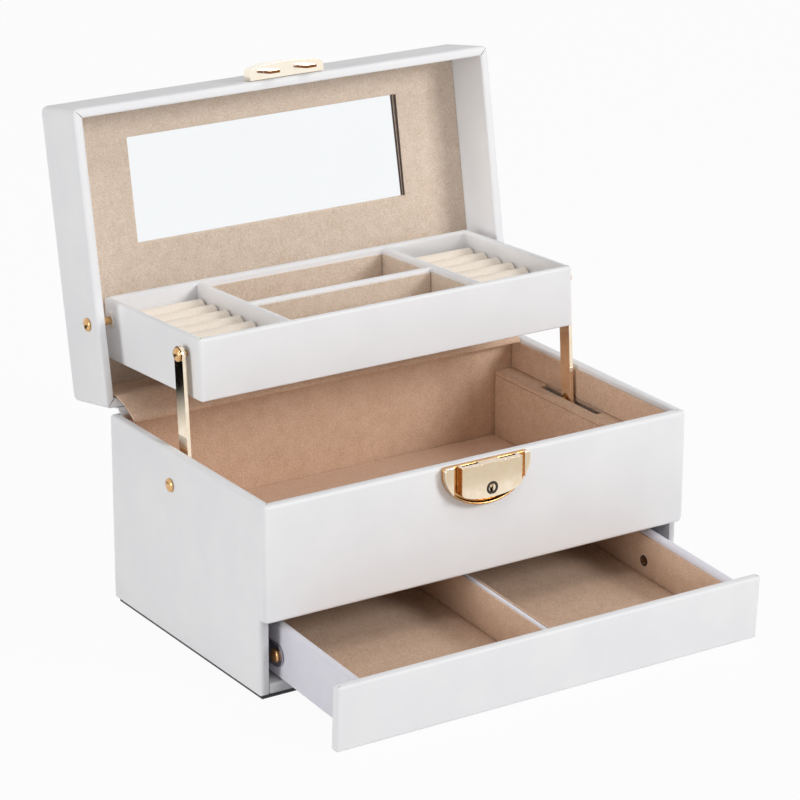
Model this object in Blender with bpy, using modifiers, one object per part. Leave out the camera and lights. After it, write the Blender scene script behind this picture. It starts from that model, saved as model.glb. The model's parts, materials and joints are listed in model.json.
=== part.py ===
"""Leather jewelry box, open: a case with a drawer, a lid with a mirror, and a tray carried by the lid and two arms.

Metres, +Z up. The origin is the middle of the case's footprint on the table, the front looks along -Y.
Each moving group hangs on an empty on its joint's axis. The pieces are laid out as in the closed box,
and the empties then open the lid, swing the tray and the arms, and draw the drawer out.
"""

import math

import bmesh
import bpy
from mathutils import Vector

# Case, all boards with their leather
CASE_WIDTH = 0.2500
CASE_DEPTH = 0.1532
RIM_HEIGHT = 0.1025
BOARD = 0.0050
GAP = 0.0003
LEATHER_EDGE = 0.0011
CORNER_RADIUS = 0.0034
PANEL_EDGE_RADIUS = 0.0022
BASE_THICKNESS = 0.0025
BASE_INSET = 0.0022
FLOOR_THICKNESS = 0.0054
FRONT_PANEL_BOTTOM = 0.0420
PANEL_CORNER = 0.0050
SHELF_BOTTOM = 0.0430
SHELF_THICKNESS = 0.0030
LINING = 0.0012
LINING_DROP = 0.0025
POCKET_ROOM = 0.0095
INNER_PANEL = 0.0030
LEDGE_BELOW_RIM = 0.0185
LEDGE_THICKNESS = 0.0020
LEDGE_SLOT_AHEAD = 0.0290
LEDGE_SLOT_BEHIND = 0.0220
HINGE_STRIP_THICKNESS = 0.0008
HINGE_STRIP_HEIGHT = 0.0220
HINGE_STRIP_MARGIN = 0.0070
HINGE_STRIP_DROP = 0.0015

# Lid
LID_OPEN_ANGLE = 100.2
LID_HEIGHT = 0.0379
LID_GAP = 0.0005
HINGE_BEHIND_CASE = 0.0016
LID_EDGE_RADIUS = 0.0044
LID_LINING_DEPTH = 0.0285
LID_LINING = 0.0025
MIRROR_THICKNESS = 0.0013
MIRROR_SIDE_MARGIN = 0.0430
MIRROR_WINDOW_DEPTH = 0.0552
MIRROR_WINDOW_SETBACK = 0.0216
MIRROR_TUCK = 0.0040

# Tray
TRAY_SIDE_ROOM = 0.0084
TRAY_DEPTH = 0.0989
TRAY_HEIGHT = 0.0320
TRAY_TILT = 2.96
TRAY_SIDE = 0.0036
TRAY_FRONT = 0.0040
TRAY_FLOOR = 0.0024
TRAY_DIVIDER = 0.0040
RING_ROOM = 0.0490
TRAY_DIVIDER_DROP = 0.0008
TRAY_PAD = 0.0010
TRAY_EDGE = 0.0009
LID_RIVET_AHEAD = 0.0446
LID_RIVET_ABOVE = 0.01057
LID_RIVET_FROM_FRONT = 0.0910
LID_RIVET_BELOW_TOP = 0.0106
ARM_RIVET_FROM_FRONT = 0.0130
ARM_RIVET_BELOW_TOP = 0.0095

# Ring rolls
ROLL_PITCH = 0.0165
ROLL_START = 0.0061
ROLL_CREST_BELOW_TOP = 0.0075
ROLL_VALLEY = 0.0062
ROLL_FULLNESS_SHARE = 0.75
ROLL_END_GAP = 0.0015
ROLL_SIDE_GAP = 0.0006

# Arms and rivets
ARM_PIVOT_BELOW_RIM = 0.0180
ARM_WIDTH = 0.0084
ARM_THICKNESS = 0.0020
ARM_LEG_WIDTH = 0.0070
LEVER_PIN_RADIUS = 0.0015
RIVET_HEAD_RADIUS = 0.0040
RIVET_HEAD_HEIGHT = 0.0016
RIVET_SHANK_RADIUS = 0.0020
RIVET_COLLAR_RADIUS = 0.0034
RIVET_TAIL = 0.0008

# Drawer
DRAWER_TRAVEL = 0.0643
DRAWER_DROOP = 3.2
DRAWER_FRONT_BOTTOM = 0.0045
DRAWER_FRONT_HEIGHT = 0.0340
DRAWER_FRONT_INSET = 0.0003
DRAWER_LENGTH = 0.1400
DRAWER_SIDE_ROOM = 0.0070
DRAWER_SIDE = 0.0050
DRAWER_SIDE_TOP = 0.0372
DRAWER_FLOOR_CLEARANCE = 0.0014
DRAWER_FLOOR = 0.0025
DRAWER_DIVIDER = 0.0034
DRAWER_DIVIDER_DROP = 0.0020
DRAWER_PAD = 0.0010
DRAWER_RIVET_BEHIND_FRONT = 0.0730
DRAWER_RIVET_HEIGHT = 0.0210
BAR_THICKNESS = 0.0010
BAR_END_RADIUS = 0.0060
BAR_SLOT_PLAY = 0.0011
BAR_LUG_WALL = 0.0030

# Lock
LOCK_WIDTH = 0.0530
LOCK_HEIGHT = 0.0232
LOCK_PLATE = 0.0025
LOCK_SHOULDER = 0.0035
LOCK_LIP_WIDTH = 0.0022
LOCK_LIP_RISE = 0.0028
LIP_SPAN_SHARE = 0.80
SLIDER_WIDTH = 0.0354
SLIDER_HEIGHT = 0.0180
SLIDER_SIDE_HEIGHT = 0.0135
SLIDER_THICKNESS = 0.0049
SLIDER_EDGE = 0.0004
SLIDER_TRAVEL = 0.0014
KEY_RADIUS = 0.0031
KEY_BELOW_RIM = 0.0132
KEY_RECESS = 0.0001
KEYWAY_WIDTH = 0.0013
KEYWAY_LENGTH = 0.0050
KEYWAY_DEPTH = 0.0025
HOOK_X = 0.0110
HOOK_WIDTH = 0.0060
HOOK_THICKNESS = 0.0015
HOOK_LENGTH = 0.0060
HOOK_CLEARANCE = 0.00045
LATCH_WIDTH = 0.0440
LATCH_HEIGHT = 0.0118
LATCH_SHOULDER = 0.0040
LATCH_END_DEPTH = 0.0045
LATCH_BULGE_DEPTH = 0.0077

OVERRUN = 0.0010
MERGE_DISTANCE = 0.00001
TURN_STEPS = 24
ARC_STEPS = 16
BEVEL_STEPS = 3
ROUND_PROFILE_SHARE = 0.5

# Places that follow from the sizes, as distances from the middle of the case
HALF = CASE_WIDTH / 2
FRONT_Y = -CASE_DEPTH / 2
REAR_Y = CASE_DEPTH / 2
WALL_INNER = HALF - BOARD
SIDE_FRONT_Y = FRONT_Y + BOARD + GAP
REAR_WALL_FACE_Y = REAR_Y - BOARD
BASE_TOP = BASE_THICKNESS + GAP
FLOOR_TOP = BASE_TOP + FLOOR_THICKNESS
SHELF_TOP = SHELF_BOTTOM + SHELF_THICKNESS
PAD_BOTTOM = SHELF_TOP + GAP
LINING_TOP = RIM_HEIGHT - LINING_DROP
POCKET_FACE = WALL_INNER - POCKET_ROOM
INNER_PANEL_FACE = POCKET_FACE - INNER_PANEL
LEDGE_TOP = RIM_HEIGHT - LEDGE_BELOW_RIM
LEDGE_BOTTOM = LEDGE_TOP - LEDGE_THICKNESS
ARM_PIVOT_HEIGHT = RIM_HEIGHT - ARM_PIVOT_BELOW_RIM
SIDE_LINING_FACE = WALL_INNER - GAP - LINING

HINGE = Vector((0, REAR_Y + HINGE_BEHIND_CASE, RIM_HEIGHT))
LID_RIM = RIM_HEIGHT + LID_GAP
LID_TOP = LID_RIM + LID_HEIGHT
LID_BOARD_BOTTOM = LID_TOP - BOARD
LID_LINING_BOTTOM = LID_RIM + LID_LINING_DEPTH
MIRROR_WINDOW_HALF = HALF - MIRROR_SIDE_MARGIN
LID_RIVET = Vector((0, HINGE.y - LID_RIVET_AHEAD, HINGE.z + LID_RIVET_ABOVE))

TRAY_FRONT_Y = LID_RIVET.y - LID_RIVET_FROM_FRONT
TRAY_REAR_Y = TRAY_FRONT_Y + TRAY_DEPTH
TRAY_TOP = LID_RIVET.z + LID_RIVET_BELOW_TOP
TRAY_BOTTOM = TRAY_TOP - TRAY_HEIGHT
TRAY_HALF = WALL_INNER - TRAY_SIDE_ROOM
TRAY_FLOOR_TOP = TRAY_BOTTOM + TRAY_FLOOR
TRAY_INNER = TRAY_HALF - TRAY_SIDE
TRAY_DIVIDER_X = TRAY_INNER - RING_ROOM - TRAY_DIVIDER / 2
ARM_RIVET_CLOSED = Vector((0, TRAY_FRONT_Y + ARM_RIVET_FROM_FRONT, TRAY_TOP - ARM_RIVET_BELOW_TOP))

DRAWER_HALF_WIDTH = WALL_INNER - DRAWER_SIDE_ROOM
DRAWER_RIVET = Vector((0, FRONT_Y + DRAWER_RIVET_BEHIND_FRONT, DRAWER_RIVET_HEIGHT))
DRAWER_BOTTOM = FLOOR_TOP + DRAWER_FLOOR_CLEARANCE
DRAWER_BOX_FRONT_Y = FRONT_Y + BOARD + GAP
DRAWER_BOX_REAR_Y = FRONT_Y + BOARD + DRAWER_LENGTH
DRAWER_INNER = DRAWER_HALF_WIDTH - DRAWER_SIDE
BAR_INNER = DRAWER_HALF_WIDTH + GAP
BAR_OUTER = BAR_INNER + BAR_THICKNESS
ARM_INNER = BAR_OUTER + GAP
ARM_OUTER = ARM_INNER + ARM_THICKNESS

LOCK_FACE_Y = FRONT_Y - GAP - LOCK_PLATE
KEY_HEIGHT = RIM_HEIGHT - KEY_BELOW_RIM
SLIDER_BACK_Y = LOCK_FACE_Y - GAP
SLIDER_FACE_Y = SLIDER_BACK_Y - SLIDER_THICKNESS
HOOK_BACK_Y = LOCK_FACE_Y - HOOK_CLEARANCE

LEATHER_COLOUR = "F1F0EE"
SUEDE_COLOUR = "D2BBA6"
ROLL_COLOUR = "E9D9C6"
DRAWER_SIDE_COLOUR = "DEDCE4"
GOLD_COLOUR = "E6C795"
BRASS_COLOUR = "C79A5B"
STEEL_COLOUR = "A7A3AC"
MIRROR_COLOUR = "F2F5F6"
BASE_COLOUR = "232128"


def turned_about_x(vector, degrees):
    """The vector turned about +X, as the joints turn."""
    angle = math.radians(degrees)
    return Vector((
        vector.x,
        vector.y * math.cos(angle) - vector.z * math.sin(angle),
        vector.y * math.sin(angle) + vector.z * math.cos(angle),
    ))


def open_linkage():
    """The tray's open places, the arm's pivot, and how far the arm turns and reaches."""
    rivet_open = HINGE + turned_about_x(LID_RIVET - HINGE, -LID_OPEN_ANGLE)
    top_open = rivet_open + turned_about_x(ARM_RIVET_CLOSED - LID_RIVET, -TRAY_TILT)
    top_closed = ARM_RIVET_CLOSED
    # The pivot lies as far from the rivet's open place as from its closed one
    middle = (top_open + top_closed) / 2
    swing = top_open - top_closed
    pivot_y = middle.y + (middle.z - ARM_PIVOT_HEIGHT) * swing.z / swing.y
    pivot = Vector((0, pivot_y, ARM_PIVOT_HEIGHT))
    reach = (top_open - pivot).length
    lean_open = math.degrees(math.atan2(pivot.y - top_open.y, top_open.z - pivot.z))
    lean_closed = math.degrees(math.atan2(pivot.y - top_closed.y, top_closed.z - pivot.z))
    return pivot, reach, lean_open, lean_closed


ARM_PIVOT, ARM_REACH, ARM_LEAN_OPEN, ARM_LEAN_CLOSED = open_linkage()
ARM_TURN = ARM_LEAN_CLOSED - ARM_LEAN_OPEN
LEG_REACH = DRAWER_TRAVEL / (2 * math.sin(math.radians(ARM_TURN / 2)))
# The leg hangs as far ahead of plumb when open as behind it when closed
LEG_LEAN = ARM_TURN / 2 + ARM_LEAN_OPEN
PIN_PLAY_Z_HIGH = ARM_PIVOT.z - LEG_REACH * math.cos(math.radians(ARM_TURN / 2))
PIN_PLAY_Z_LOW = ARM_PIVOT.z - LEG_REACH
PIN_Y_CLOSED = ARM_PIVOT.y + DRAWER_TRAVEL / 2


def clear_scene():
    for item in list(bpy.data.objects):
        bpy.data.objects.remove(item, do_unlink=True)


def linear(hex_colour):
    """An sRGB hex colour as linear values."""
    channels = []
    for start in (0, 2, 4):
        value = int(hex_colour[start:start + 2], 16) / 255
        channels.append(value / 12.92 if value <= 0.04045 else ((value + 0.055) / 1.055) ** 2.4)
    return (*channels, 1.0)


def make_material(name, hex_colour, roughness, metallic=0.0):
    made = bpy.data.materials.new(name)
    made.use_nodes = True
    shader = made.node_tree.nodes["Principled BSDF"]
    shader.inputs["Base Color"].default_value = linear(hex_colour)
    shader.inputs["Roughness"].default_value = roughness
    shader.inputs["Metallic"].default_value = metallic
    return made


def make_collection(name):
    made = bpy.data.collections.new(name)
    bpy.context.scene.collection.children.link(made)
    return made


def make_pivot(name, closed_place, turn=0.0, shift=None, parent=None):
    """An empty on a joint's axis; its pieces are laid out as in the closed box."""
    pivot = bpy.data.objects.new(name, None)
    parts.objects.link(pivot)
    pivot["closed_place"] = closed_place
    start = Vector((0, 0, 0))
    if parent is not None:
        pivot.parent = parent
        start = Vector(parent["closed_place"])
    pivot.location = Vector(closed_place) - start + (shift or Vector((0, 0, 0)))
    pivot.rotation_euler.x = math.radians(turn)
    return pivot


def place(piece, pivot, closed_place, finish, rotation=(0, 0, 0)):
    """Hangs a piece on its pivot at its place in the closed box and gives it its material."""
    if piece.name not in parts.objects:
        parts.objects.link(piece)
    origin = Vector((0, 0, 0))
    if pivot is not None:
        piece.parent = pivot
        origin = Vector(pivot["closed_place"])
    piece.location = Vector(closed_place) - origin
    piece.rotation_euler = rotation
    piece.data.materials.clear()
    piece.data.materials.append(finish)
    return piece


def add_bevel(piece, width, angle=40.0):
    bevel = piece.modifiers.new("rounded edges", "BEVEL")
    bevel.width = width
    bevel.segments = BEVEL_STEPS
    bevel.limit_method = "ANGLE"
    bevel.angle_limit = math.radians(angle)
    return bevel


def box_mesh(name, low, high):
    """A block between two corners, with its mesh centred on the object's origin."""
    size = Vector(high) - Vector(low)
    mesh = bpy.data.meshes.new(name)
    shape = bmesh.new()
    bmesh.ops.create_cube(shape, size=1.0)
    bmesh.ops.scale(shape, vec=size, verts=shape.verts)
    shape.to_mesh(mesh)
    shape.free()
    return bpy.data.objects.new(name, mesh)


def make_board(name, low, high, pivot, finish, edge=0.0):
    """A board or pad between two corners of the closed box, with its edges rounded."""
    board = box_mesh(name, low, high)
    if edge > 0:
        add_bevel(board, edge)
    return place(board, pivot, (Vector(low) + Vector(high)) / 2, finish)


def bevel_chosen_edges(piece, width, chosen):
    """Rounds the edges that the test picks, before any other modifier."""
    shape = bmesh.new()
    shape.from_mesh(piece.data)
    picked = [edge for edge in shape.edges if chosen(*[vert.co for vert in edge.verts])]
    bmesh.ops.bevel(shape, geom=picked, offset=width, segments=BEVEL_STEPS + 1,
                     profile=ROUND_PROFILE_SHARE, affect="EDGES")
    shape.to_mesh(piece.data)
    shape.free()


def flat_plate(name, loops, thickness):
    """A flat outline, with any holes, extruded along its local Z from zero to its thickness."""
    curve = bpy.data.curves.new(name, "CURVE")
    curve.dimensions = "2D"
    curve.fill_mode = "BOTH"
    curve.extrude = thickness / 2
    for loop in loops:
        spline = curve.splines.new("POLY")
        spline.points.add(len(loop) - 1)
        spline.use_cyclic_u = True
        for point, (across, up) in zip(spline.points, loop):
            point.co = (across, up, 0, 1)
    drawn = bpy.data.objects.new(name + "_outline", curve)
    parts.objects.link(drawn)
    evaluated = drawn.evaluated_get(bpy.context.evaluated_depsgraph_get())
    mesh = bpy.data.meshes.new_from_object(evaluated)
    bpy.data.objects.remove(drawn, do_unlink=True)
    shape = bmesh.new()
    shape.from_mesh(mesh)
    bmesh.ops.remove_doubles(shape, verts=shape.verts, dist=MERGE_DISTANCE)
    bmesh.ops.translate(shape, verts=shape.verts, vec=(0, 0, thickness / 2))
    bmesh.ops.recalc_face_normals(shape, faces=shape.faces)
    shape.to_mesh(mesh)
    shape.free()
    mesh.name = name
    return bpy.data.objects.new(name, mesh)


def circle(centre_across, centre_up, radius, steps=TURN_STEPS):
    turns = [2 * math.pi * step / steps for step in range(steps)]
    return [(centre_across + radius * math.cos(turn), centre_up + radius * math.sin(turn)) for turn in turns]


def arc(centre, radius, start, end, steps=ARC_STEPS // 2):
    """Points on an arc, angles in degrees."""
    points = []
    for step in range(steps + 1):
        turn = math.radians(start + (end - start) * step / steps)
        points.append((centre[0] + radius * math.cos(turn), centre[1] + radius * math.sin(turn)))
    return points


def make_turned(name, profile, finish, pivot, closed_place, rotation):
    """A turned piece: a profile of radius and height from its tip down to its foot."""
    mesh = bpy.data.meshes.new(name)
    points = [(radius, 0, height) for radius, height in profile]
    mesh.from_pydata(points, [(step, step + 1) for step in range(len(points) - 1)], [])
    piece = bpy.data.objects.new(name, mesh)
    turn = piece.modifiers.new("turned", "SCREW")
    turn.axis = "Z"
    turn.steps = TURN_STEPS
    turn.render_steps = TURN_STEPS
    turn.use_merge_vertices = True
    turn.merge_threshold = MERGE_DISTANCE
    turn.use_smooth_shade = True
    return place(piece, pivot, closed_place, finish, rotation)


def add_boolean(piece, other, operation):
    """Cuts or joins with another solid, which is kept as a cutter."""
    if other.name in parts.objects:
        parts.objects.unlink(other)
    if other.name not in cutters.objects:
        cutters.objects.link(other)
    other.hide_render = True
    other.display_type = "WIRE"
    boolean = piece.modifiers.new(operation.lower(), "BOOLEAN")
    boolean.operation = operation
    boolean.solver = "EXACT"
    boolean.object = other


def drill_across(pieces, name, pivot, closed_place, radius, inner, outer, side):
    """A round hole along X through each piece, between two distances from the middle."""
    mesh = bpy.data.meshes.new(name)
    shape = bmesh.new()
    bmesh.ops.create_cone(
        shape, cap_ends=True, segments=TURN_STEPS, radius1=radius, radius2=radius, depth=outer - inner)
    bmesh.ops.translate(shape, verts=shape.verts, vec=(0, 0, (inner + outer) / 2))
    shape.to_mesh(mesh)
    shape.free()
    cutter = bpy.data.objects.new(name, mesh)
    place(cutter, pivot, closed_place, steel, turn_to_side(side))
    for piece in pieces:
        add_boolean(piece, cutter, "DIFFERENCE")


def turn_to_side(side):
    """Turns local Z to point out of the case's left (-1) or right (+1) side."""
    return (0, side * math.pi / 2, 0)


def side_name(base, side):
    return base + ("_left" if side < 0 else "_right")


def side_box(side, inner, outer, front, rear, bottom, top):
    """Corners of a block between two distances from the middle, on one side."""
    low_x, high_x = sorted((side * inner, side * outer))
    return (low_x, front, bottom), (high_x, rear, top)


FACING_SIDE = (math.pi / 2, 0, math.pi / 2)
FACING_FRONT = (math.pi / 2, 0, 0)


def build_case():
    """The case: base, floor, walls, upper front panel, shelf, linings and the ledges for the tray."""
    make_board("base_board", (-HALF + BASE_INSET, SIDE_FRONT_Y + BASE_INSET, 0),
               (HALF - BASE_INSET, REAR_Y - BASE_INSET, BASE_THICKNESS), None, base_paint)
    make_board("case_floor", (-WALL_INNER + GAP, SIDE_FRONT_Y, BASE_TOP),
               (WALL_INNER - GAP, REAR_WALL_FACE_Y - GAP, FLOOR_TOP), None, leather, LEATHER_EDGE)
    make_board("wall_rear", (-WALL_INNER + GAP, REAR_WALL_FACE_Y, BASE_TOP),
               (WALL_INNER - GAP, REAR_Y, RIM_HEIGHT), None, leather, LEATHER_EDGE)
    # The upper front panel lies over the side walls' front edges; its lower corners are round
    corner_x = HALF - PANEL_CORNER
    corner_z = FRONT_PANEL_BOTTOM + PANEL_CORNER
    outline = [(-HALF, RIM_HEIGHT)] + arc((-corner_x, corner_z), PANEL_CORNER, 180, 270)
    outline += arc((corner_x, corner_z), PANEL_CORNER, 270, 360) + [(HALF, RIM_HEIGHT)]
    panel = flat_plate("front_panel", [outline], BOARD)
    add_bevel(panel, PANEL_EDGE_RADIUS, 60.0)
    place(panel, None, (0, FRONT_Y + BOARD, 0), leather, FACING_FRONT)
    make_board("drawer_shelf", (-POCKET_FACE, SIDE_FRONT_Y, SHELF_BOTTOM),
               (POCKET_FACE, REAR_WALL_FACE_Y - GAP, SHELF_TOP), None, leather)
    rear_face = REAR_WALL_FACE_Y - GAP - LINING
    front_face = SIDE_FRONT_Y + LINING
    make_board("compartment_pad", (-INNER_PANEL_FACE + GAP, front_face + GAP, PAD_BOTTOM),
               (INNER_PANEL_FACE - GAP, rear_face - GAP, PAD_BOTTOM + LINING), None, suede)
    make_board("lining_rear", (-WALL_INNER + GAP, rear_face, PAD_BOTTOM),
               (WALL_INNER - GAP, REAR_WALL_FACE_Y - GAP, LINING_TOP), None, suede)
    make_board("lining_front", (-WALL_INNER + GAP, SIDE_FRONT_Y, PAD_BOTTOM),
               (WALL_INNER - GAP, front_face, LINING_TOP), None, suede)
    for side in (-1, 1):
        wall = make_board(side_name("wall", side), *side_box(
            side, WALL_INNER, HALF, SIDE_FRONT_Y, REAR_Y, BASE_TOP, RIM_HEIGHT), None, leather)
        bevel_chosen_edges(wall, CORNER_RADIUS, lambda a, b: a.z != b.z and a.y > 0 and a.x * side > 0)
        add_bevel(wall, LEATHER_EDGE)
        make_board(side_name("inner_panel", side), *side_box(
            side, INNER_PANEL_FACE, POCKET_FACE, front_face + GAP, rear_face - GAP, PAD_BOTTOM,
            LEDGE_BOTTOM - GAP), None, suede)
        ledge = make_board(side_name("tray_ledge", side), *side_box(
            side, INNER_PANEL_FACE, WALL_INNER - GAP, front_face + GAP, rear_face - GAP, LEDGE_BOTTOM,
            LEDGE_TOP), None, suede)
        slot = make_board(side_name("slot_cutter", side), *side_box(
            side, ARM_INNER - GAP - RIVET_TAIL - GAP, SIDE_LINING_FACE, ARM_PIVOT.y - LEDGE_SLOT_AHEAD,
            ARM_PIVOT.y + LEDGE_SLOT_BEHIND, LEDGE_BOTTOM - OVERRUN, LEDGE_TOP + OVERRUN), None, steel)
        add_boolean(ledge, slot, "DIFFERENCE")
        lining = make_board(side_name("lining_side", side), *side_box(
            side, SIDE_LINING_FACE, WALL_INNER - GAP, front_face + GAP, rear_face - GAP, LEDGE_TOP + GAP,
            LINING_TOP), None, suede)
        drill_across((wall, ledge, lining), side_name("pivot_hole", side), None, ARM_PIVOT,
                     RIVET_SHANK_RADIUS + GAP, SIDE_LINING_FACE - OVERRUN, HALF + OVERRUN, side)
    strip_top = RIM_HEIGHT - HINGE_STRIP_DROP
    make_board("hinge_strip", (-HALF + HINGE_STRIP_MARGIN, REAR_Y + GAP, strip_top - HINGE_STRIP_HEIGHT),
               (HALF - HINGE_STRIP_MARGIN, REAR_Y + GAP + HINGE_STRIP_THICKNESS, strip_top), None, leather)


def build_lid():
    """The lid: five boards, the lining board with its window, and the mirror above it."""
    top = make_board("lid_top", (-HALF, FRONT_Y, LID_BOARD_BOTTOM), (HALF, REAR_Y, LID_TOP), lid, leather)
    bevel_chosen_edges(top, LID_EDGE_RADIUS, lambda a, b: a.z > 0 or b.z > 0)
    wall_top = LID_BOARD_BOTTOM - GAP
    for name, front, rear, outward in (
            ("lid_front", FRONT_Y, FRONT_Y + BOARD, -1), ("lid_rear", REAR_Y - BOARD, REAR_Y, 1)):
        wall = make_board(name, (-HALF, front, LID_RIM), (HALF, rear, wall_top), lid, leather)
        bevel_chosen_edges(wall, CORNER_RADIUS, lambda a, b: a.z != b.z and a.y * outward > 0)
    side_front = FRONT_Y + BOARD + GAP
    side_rear = REAR_Y - BOARD - GAP
    for side in (-1, 1):
        wall = make_board(side_name("lid_wall", side), *side_box(
            side, WALL_INNER, HALF, side_front, side_rear, LID_RIM, wall_top), lid, leather)
        drill_across((wall,), side_name("lid_hole", side), lid, LID_RIVET, RIVET_SHANK_RADIUS + GAP,
                     WALL_INNER - OVERRUN, HALF + OVERRUN, side)
    window_front = FRONT_Y + MIRROR_WINDOW_SETBACK
    window_rear = window_front + MIRROR_WINDOW_DEPTH
    lining_top = LID_LINING_BOTTOM + LID_LINING
    lining = make_board("lid_lining", (-WALL_INNER + GAP, side_front, LID_LINING_BOTTOM),
                        (WALL_INNER - GAP, side_rear, lining_top), lid, suede)
    window = make_board("window_cutter", (-MIRROR_WINDOW_HALF, window_front, LID_LINING_BOTTOM - OVERRUN),
                        (MIRROR_WINDOW_HALF, window_rear, lining_top + OVERRUN), lid, steel)
    add_boolean(lining, window, "DIFFERENCE")
    glass_bottom = lining_top + GAP
    make_board("mirror", (-MIRROR_WINDOW_HALF - MIRROR_TUCK, window_front - MIRROR_TUCK, glass_bottom),
               (MIRROR_WINDOW_HALF + MIRROR_TUCK, window_rear + MIRROR_TUCK,
                glass_bottom + MIRROR_THICKNESS), lid, silvered)


def roll_outline():
    """The section of the ring rolls: round crests one pitch apart, the last one cut by the rear wall."""
    start = TRAY_FRONT_Y + ROLL_START
    end = TRAY_REAR_Y - TRAY_FRONT - GAP
    crest = TRAY_TOP - ROLL_CREST_BELOW_TOP
    valley = crest - ROLL_VALLEY
    points = [(end, TRAY_FLOOR_TOP + GAP), (start, TRAY_FLOOR_TOP + GAP)]
    along = start
    while along < end - GAP:
        for step in range(ARC_STEPS // 2 + 1):
            share = step / (ARC_STEPS // 2)
            y = along + share * ROLL_PITCH
            z = valley + ROLL_VALLEY * math.sin(math.pi * share) ** ROLL_FULLNESS_SHARE
            if y <= end + GAP and (y, z) != points[-1]:
                points.append((min(y, end), z))
        along += ROLL_PITCH
    return points


def build_tray():
    """The tray: floor, four walls, three dividers, two pads of ring rolls and two flat pads."""
    wall_bottom = TRAY_BOTTOM
    make_board("tray_floor", (-TRAY_INNER + GAP, TRAY_FRONT_Y + TRAY_FRONT + GAP, TRAY_BOTTOM),
               (TRAY_INNER - GAP, TRAY_REAR_Y - TRAY_FRONT - GAP, TRAY_FLOOR_TOP), tray, leather)
    for name, front, rear in (
            ("tray_front", TRAY_FRONT_Y, TRAY_FRONT_Y + TRAY_FRONT),
            ("tray_rear", TRAY_REAR_Y - TRAY_FRONT, TRAY_REAR_Y)):
        make_board(name, (-TRAY_HALF, front, wall_bottom), (TRAY_HALF, rear, TRAY_TOP), tray, leather, TRAY_EDGE)
    inner_front = TRAY_FRONT_Y + TRAY_FRONT + GAP
    inner_rear = TRAY_REAR_Y - TRAY_FRONT - GAP
    divider_top = TRAY_TOP - TRAY_DIVIDER_DROP
    divider_bottom = TRAY_FLOOR_TOP + GAP
    middle_y = (TRAY_FRONT_Y + TRAY_REAR_Y) / 2
    for side in (-1, 1):
        wall = make_board(side_name("tray_side", side), *side_box(
            side, TRAY_INNER, TRAY_HALF, inner_front, inner_rear, wall_bottom, TRAY_TOP), tray, leather, TRAY_EDGE)
        drill_across((wall,), side_name("tray_hole", side), tray, LID_RIVET, RIVET_SHANK_RADIUS + GAP,
                     TRAY_INNER - OVERRUN, TRAY_HALF + OVERRUN, side)
        make_board(side_name("tray_divider", side), *side_box(
            side, TRAY_DIVIDER_X - TRAY_DIVIDER / 2, TRAY_DIVIDER_X + TRAY_DIVIDER / 2, inner_front, inner_rear,
            divider_bottom, divider_top), tray, leather, TRAY_EDGE)
        roll_inner = TRAY_DIVIDER_X + TRAY_DIVIDER / 2 + ROLL_SIDE_GAP
        roll_outer = TRAY_INNER - ROLL_END_GAP
        rolls = flat_plate(side_name("ring_rolls", side), [roll_outline()], roll_outer - roll_inner)
        place(rolls, tray, (min(side * roll_inner, side * roll_outer), 0, 0), roll_velvet, FACING_SIDE)
    middle_half = TRAY_DIVIDER_X - TRAY_DIVIDER / 2 - GAP
    make_board("tray_divider_middle", (-middle_half, middle_y - TRAY_DIVIDER / 2, divider_bottom),
               (middle_half, middle_y + TRAY_DIVIDER / 2, divider_top - TRAY_DIVIDER_DROP), tray, leather, TRAY_EDGE)
    pad_half = middle_half - GAP
    for name, front, rear in (
            ("tray_pad_front", inner_front + GAP, middle_y - TRAY_DIVIDER / 2 - GAP),
            ("tray_pad_rear", middle_y + TRAY_DIVIDER / 2 + GAP, inner_rear - GAP)):
        make_board(name, (-pad_half, front, divider_bottom), (pad_half, rear, divider_bottom + TRAY_PAD), tray, suede)


def dome_profile(base, radius, height):
    """A low domed head above its base, from its crown down to its rim."""
    points = [(0, base + height)]
    for step in range(1, BEVEL_STEPS + 2):
        turn = math.pi / 2 * step / (BEVEL_STEPS + 2)
        points.append((radius * math.sin(turn), base + height * math.cos(turn)))
    points.append((radius, base))
    return points


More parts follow.
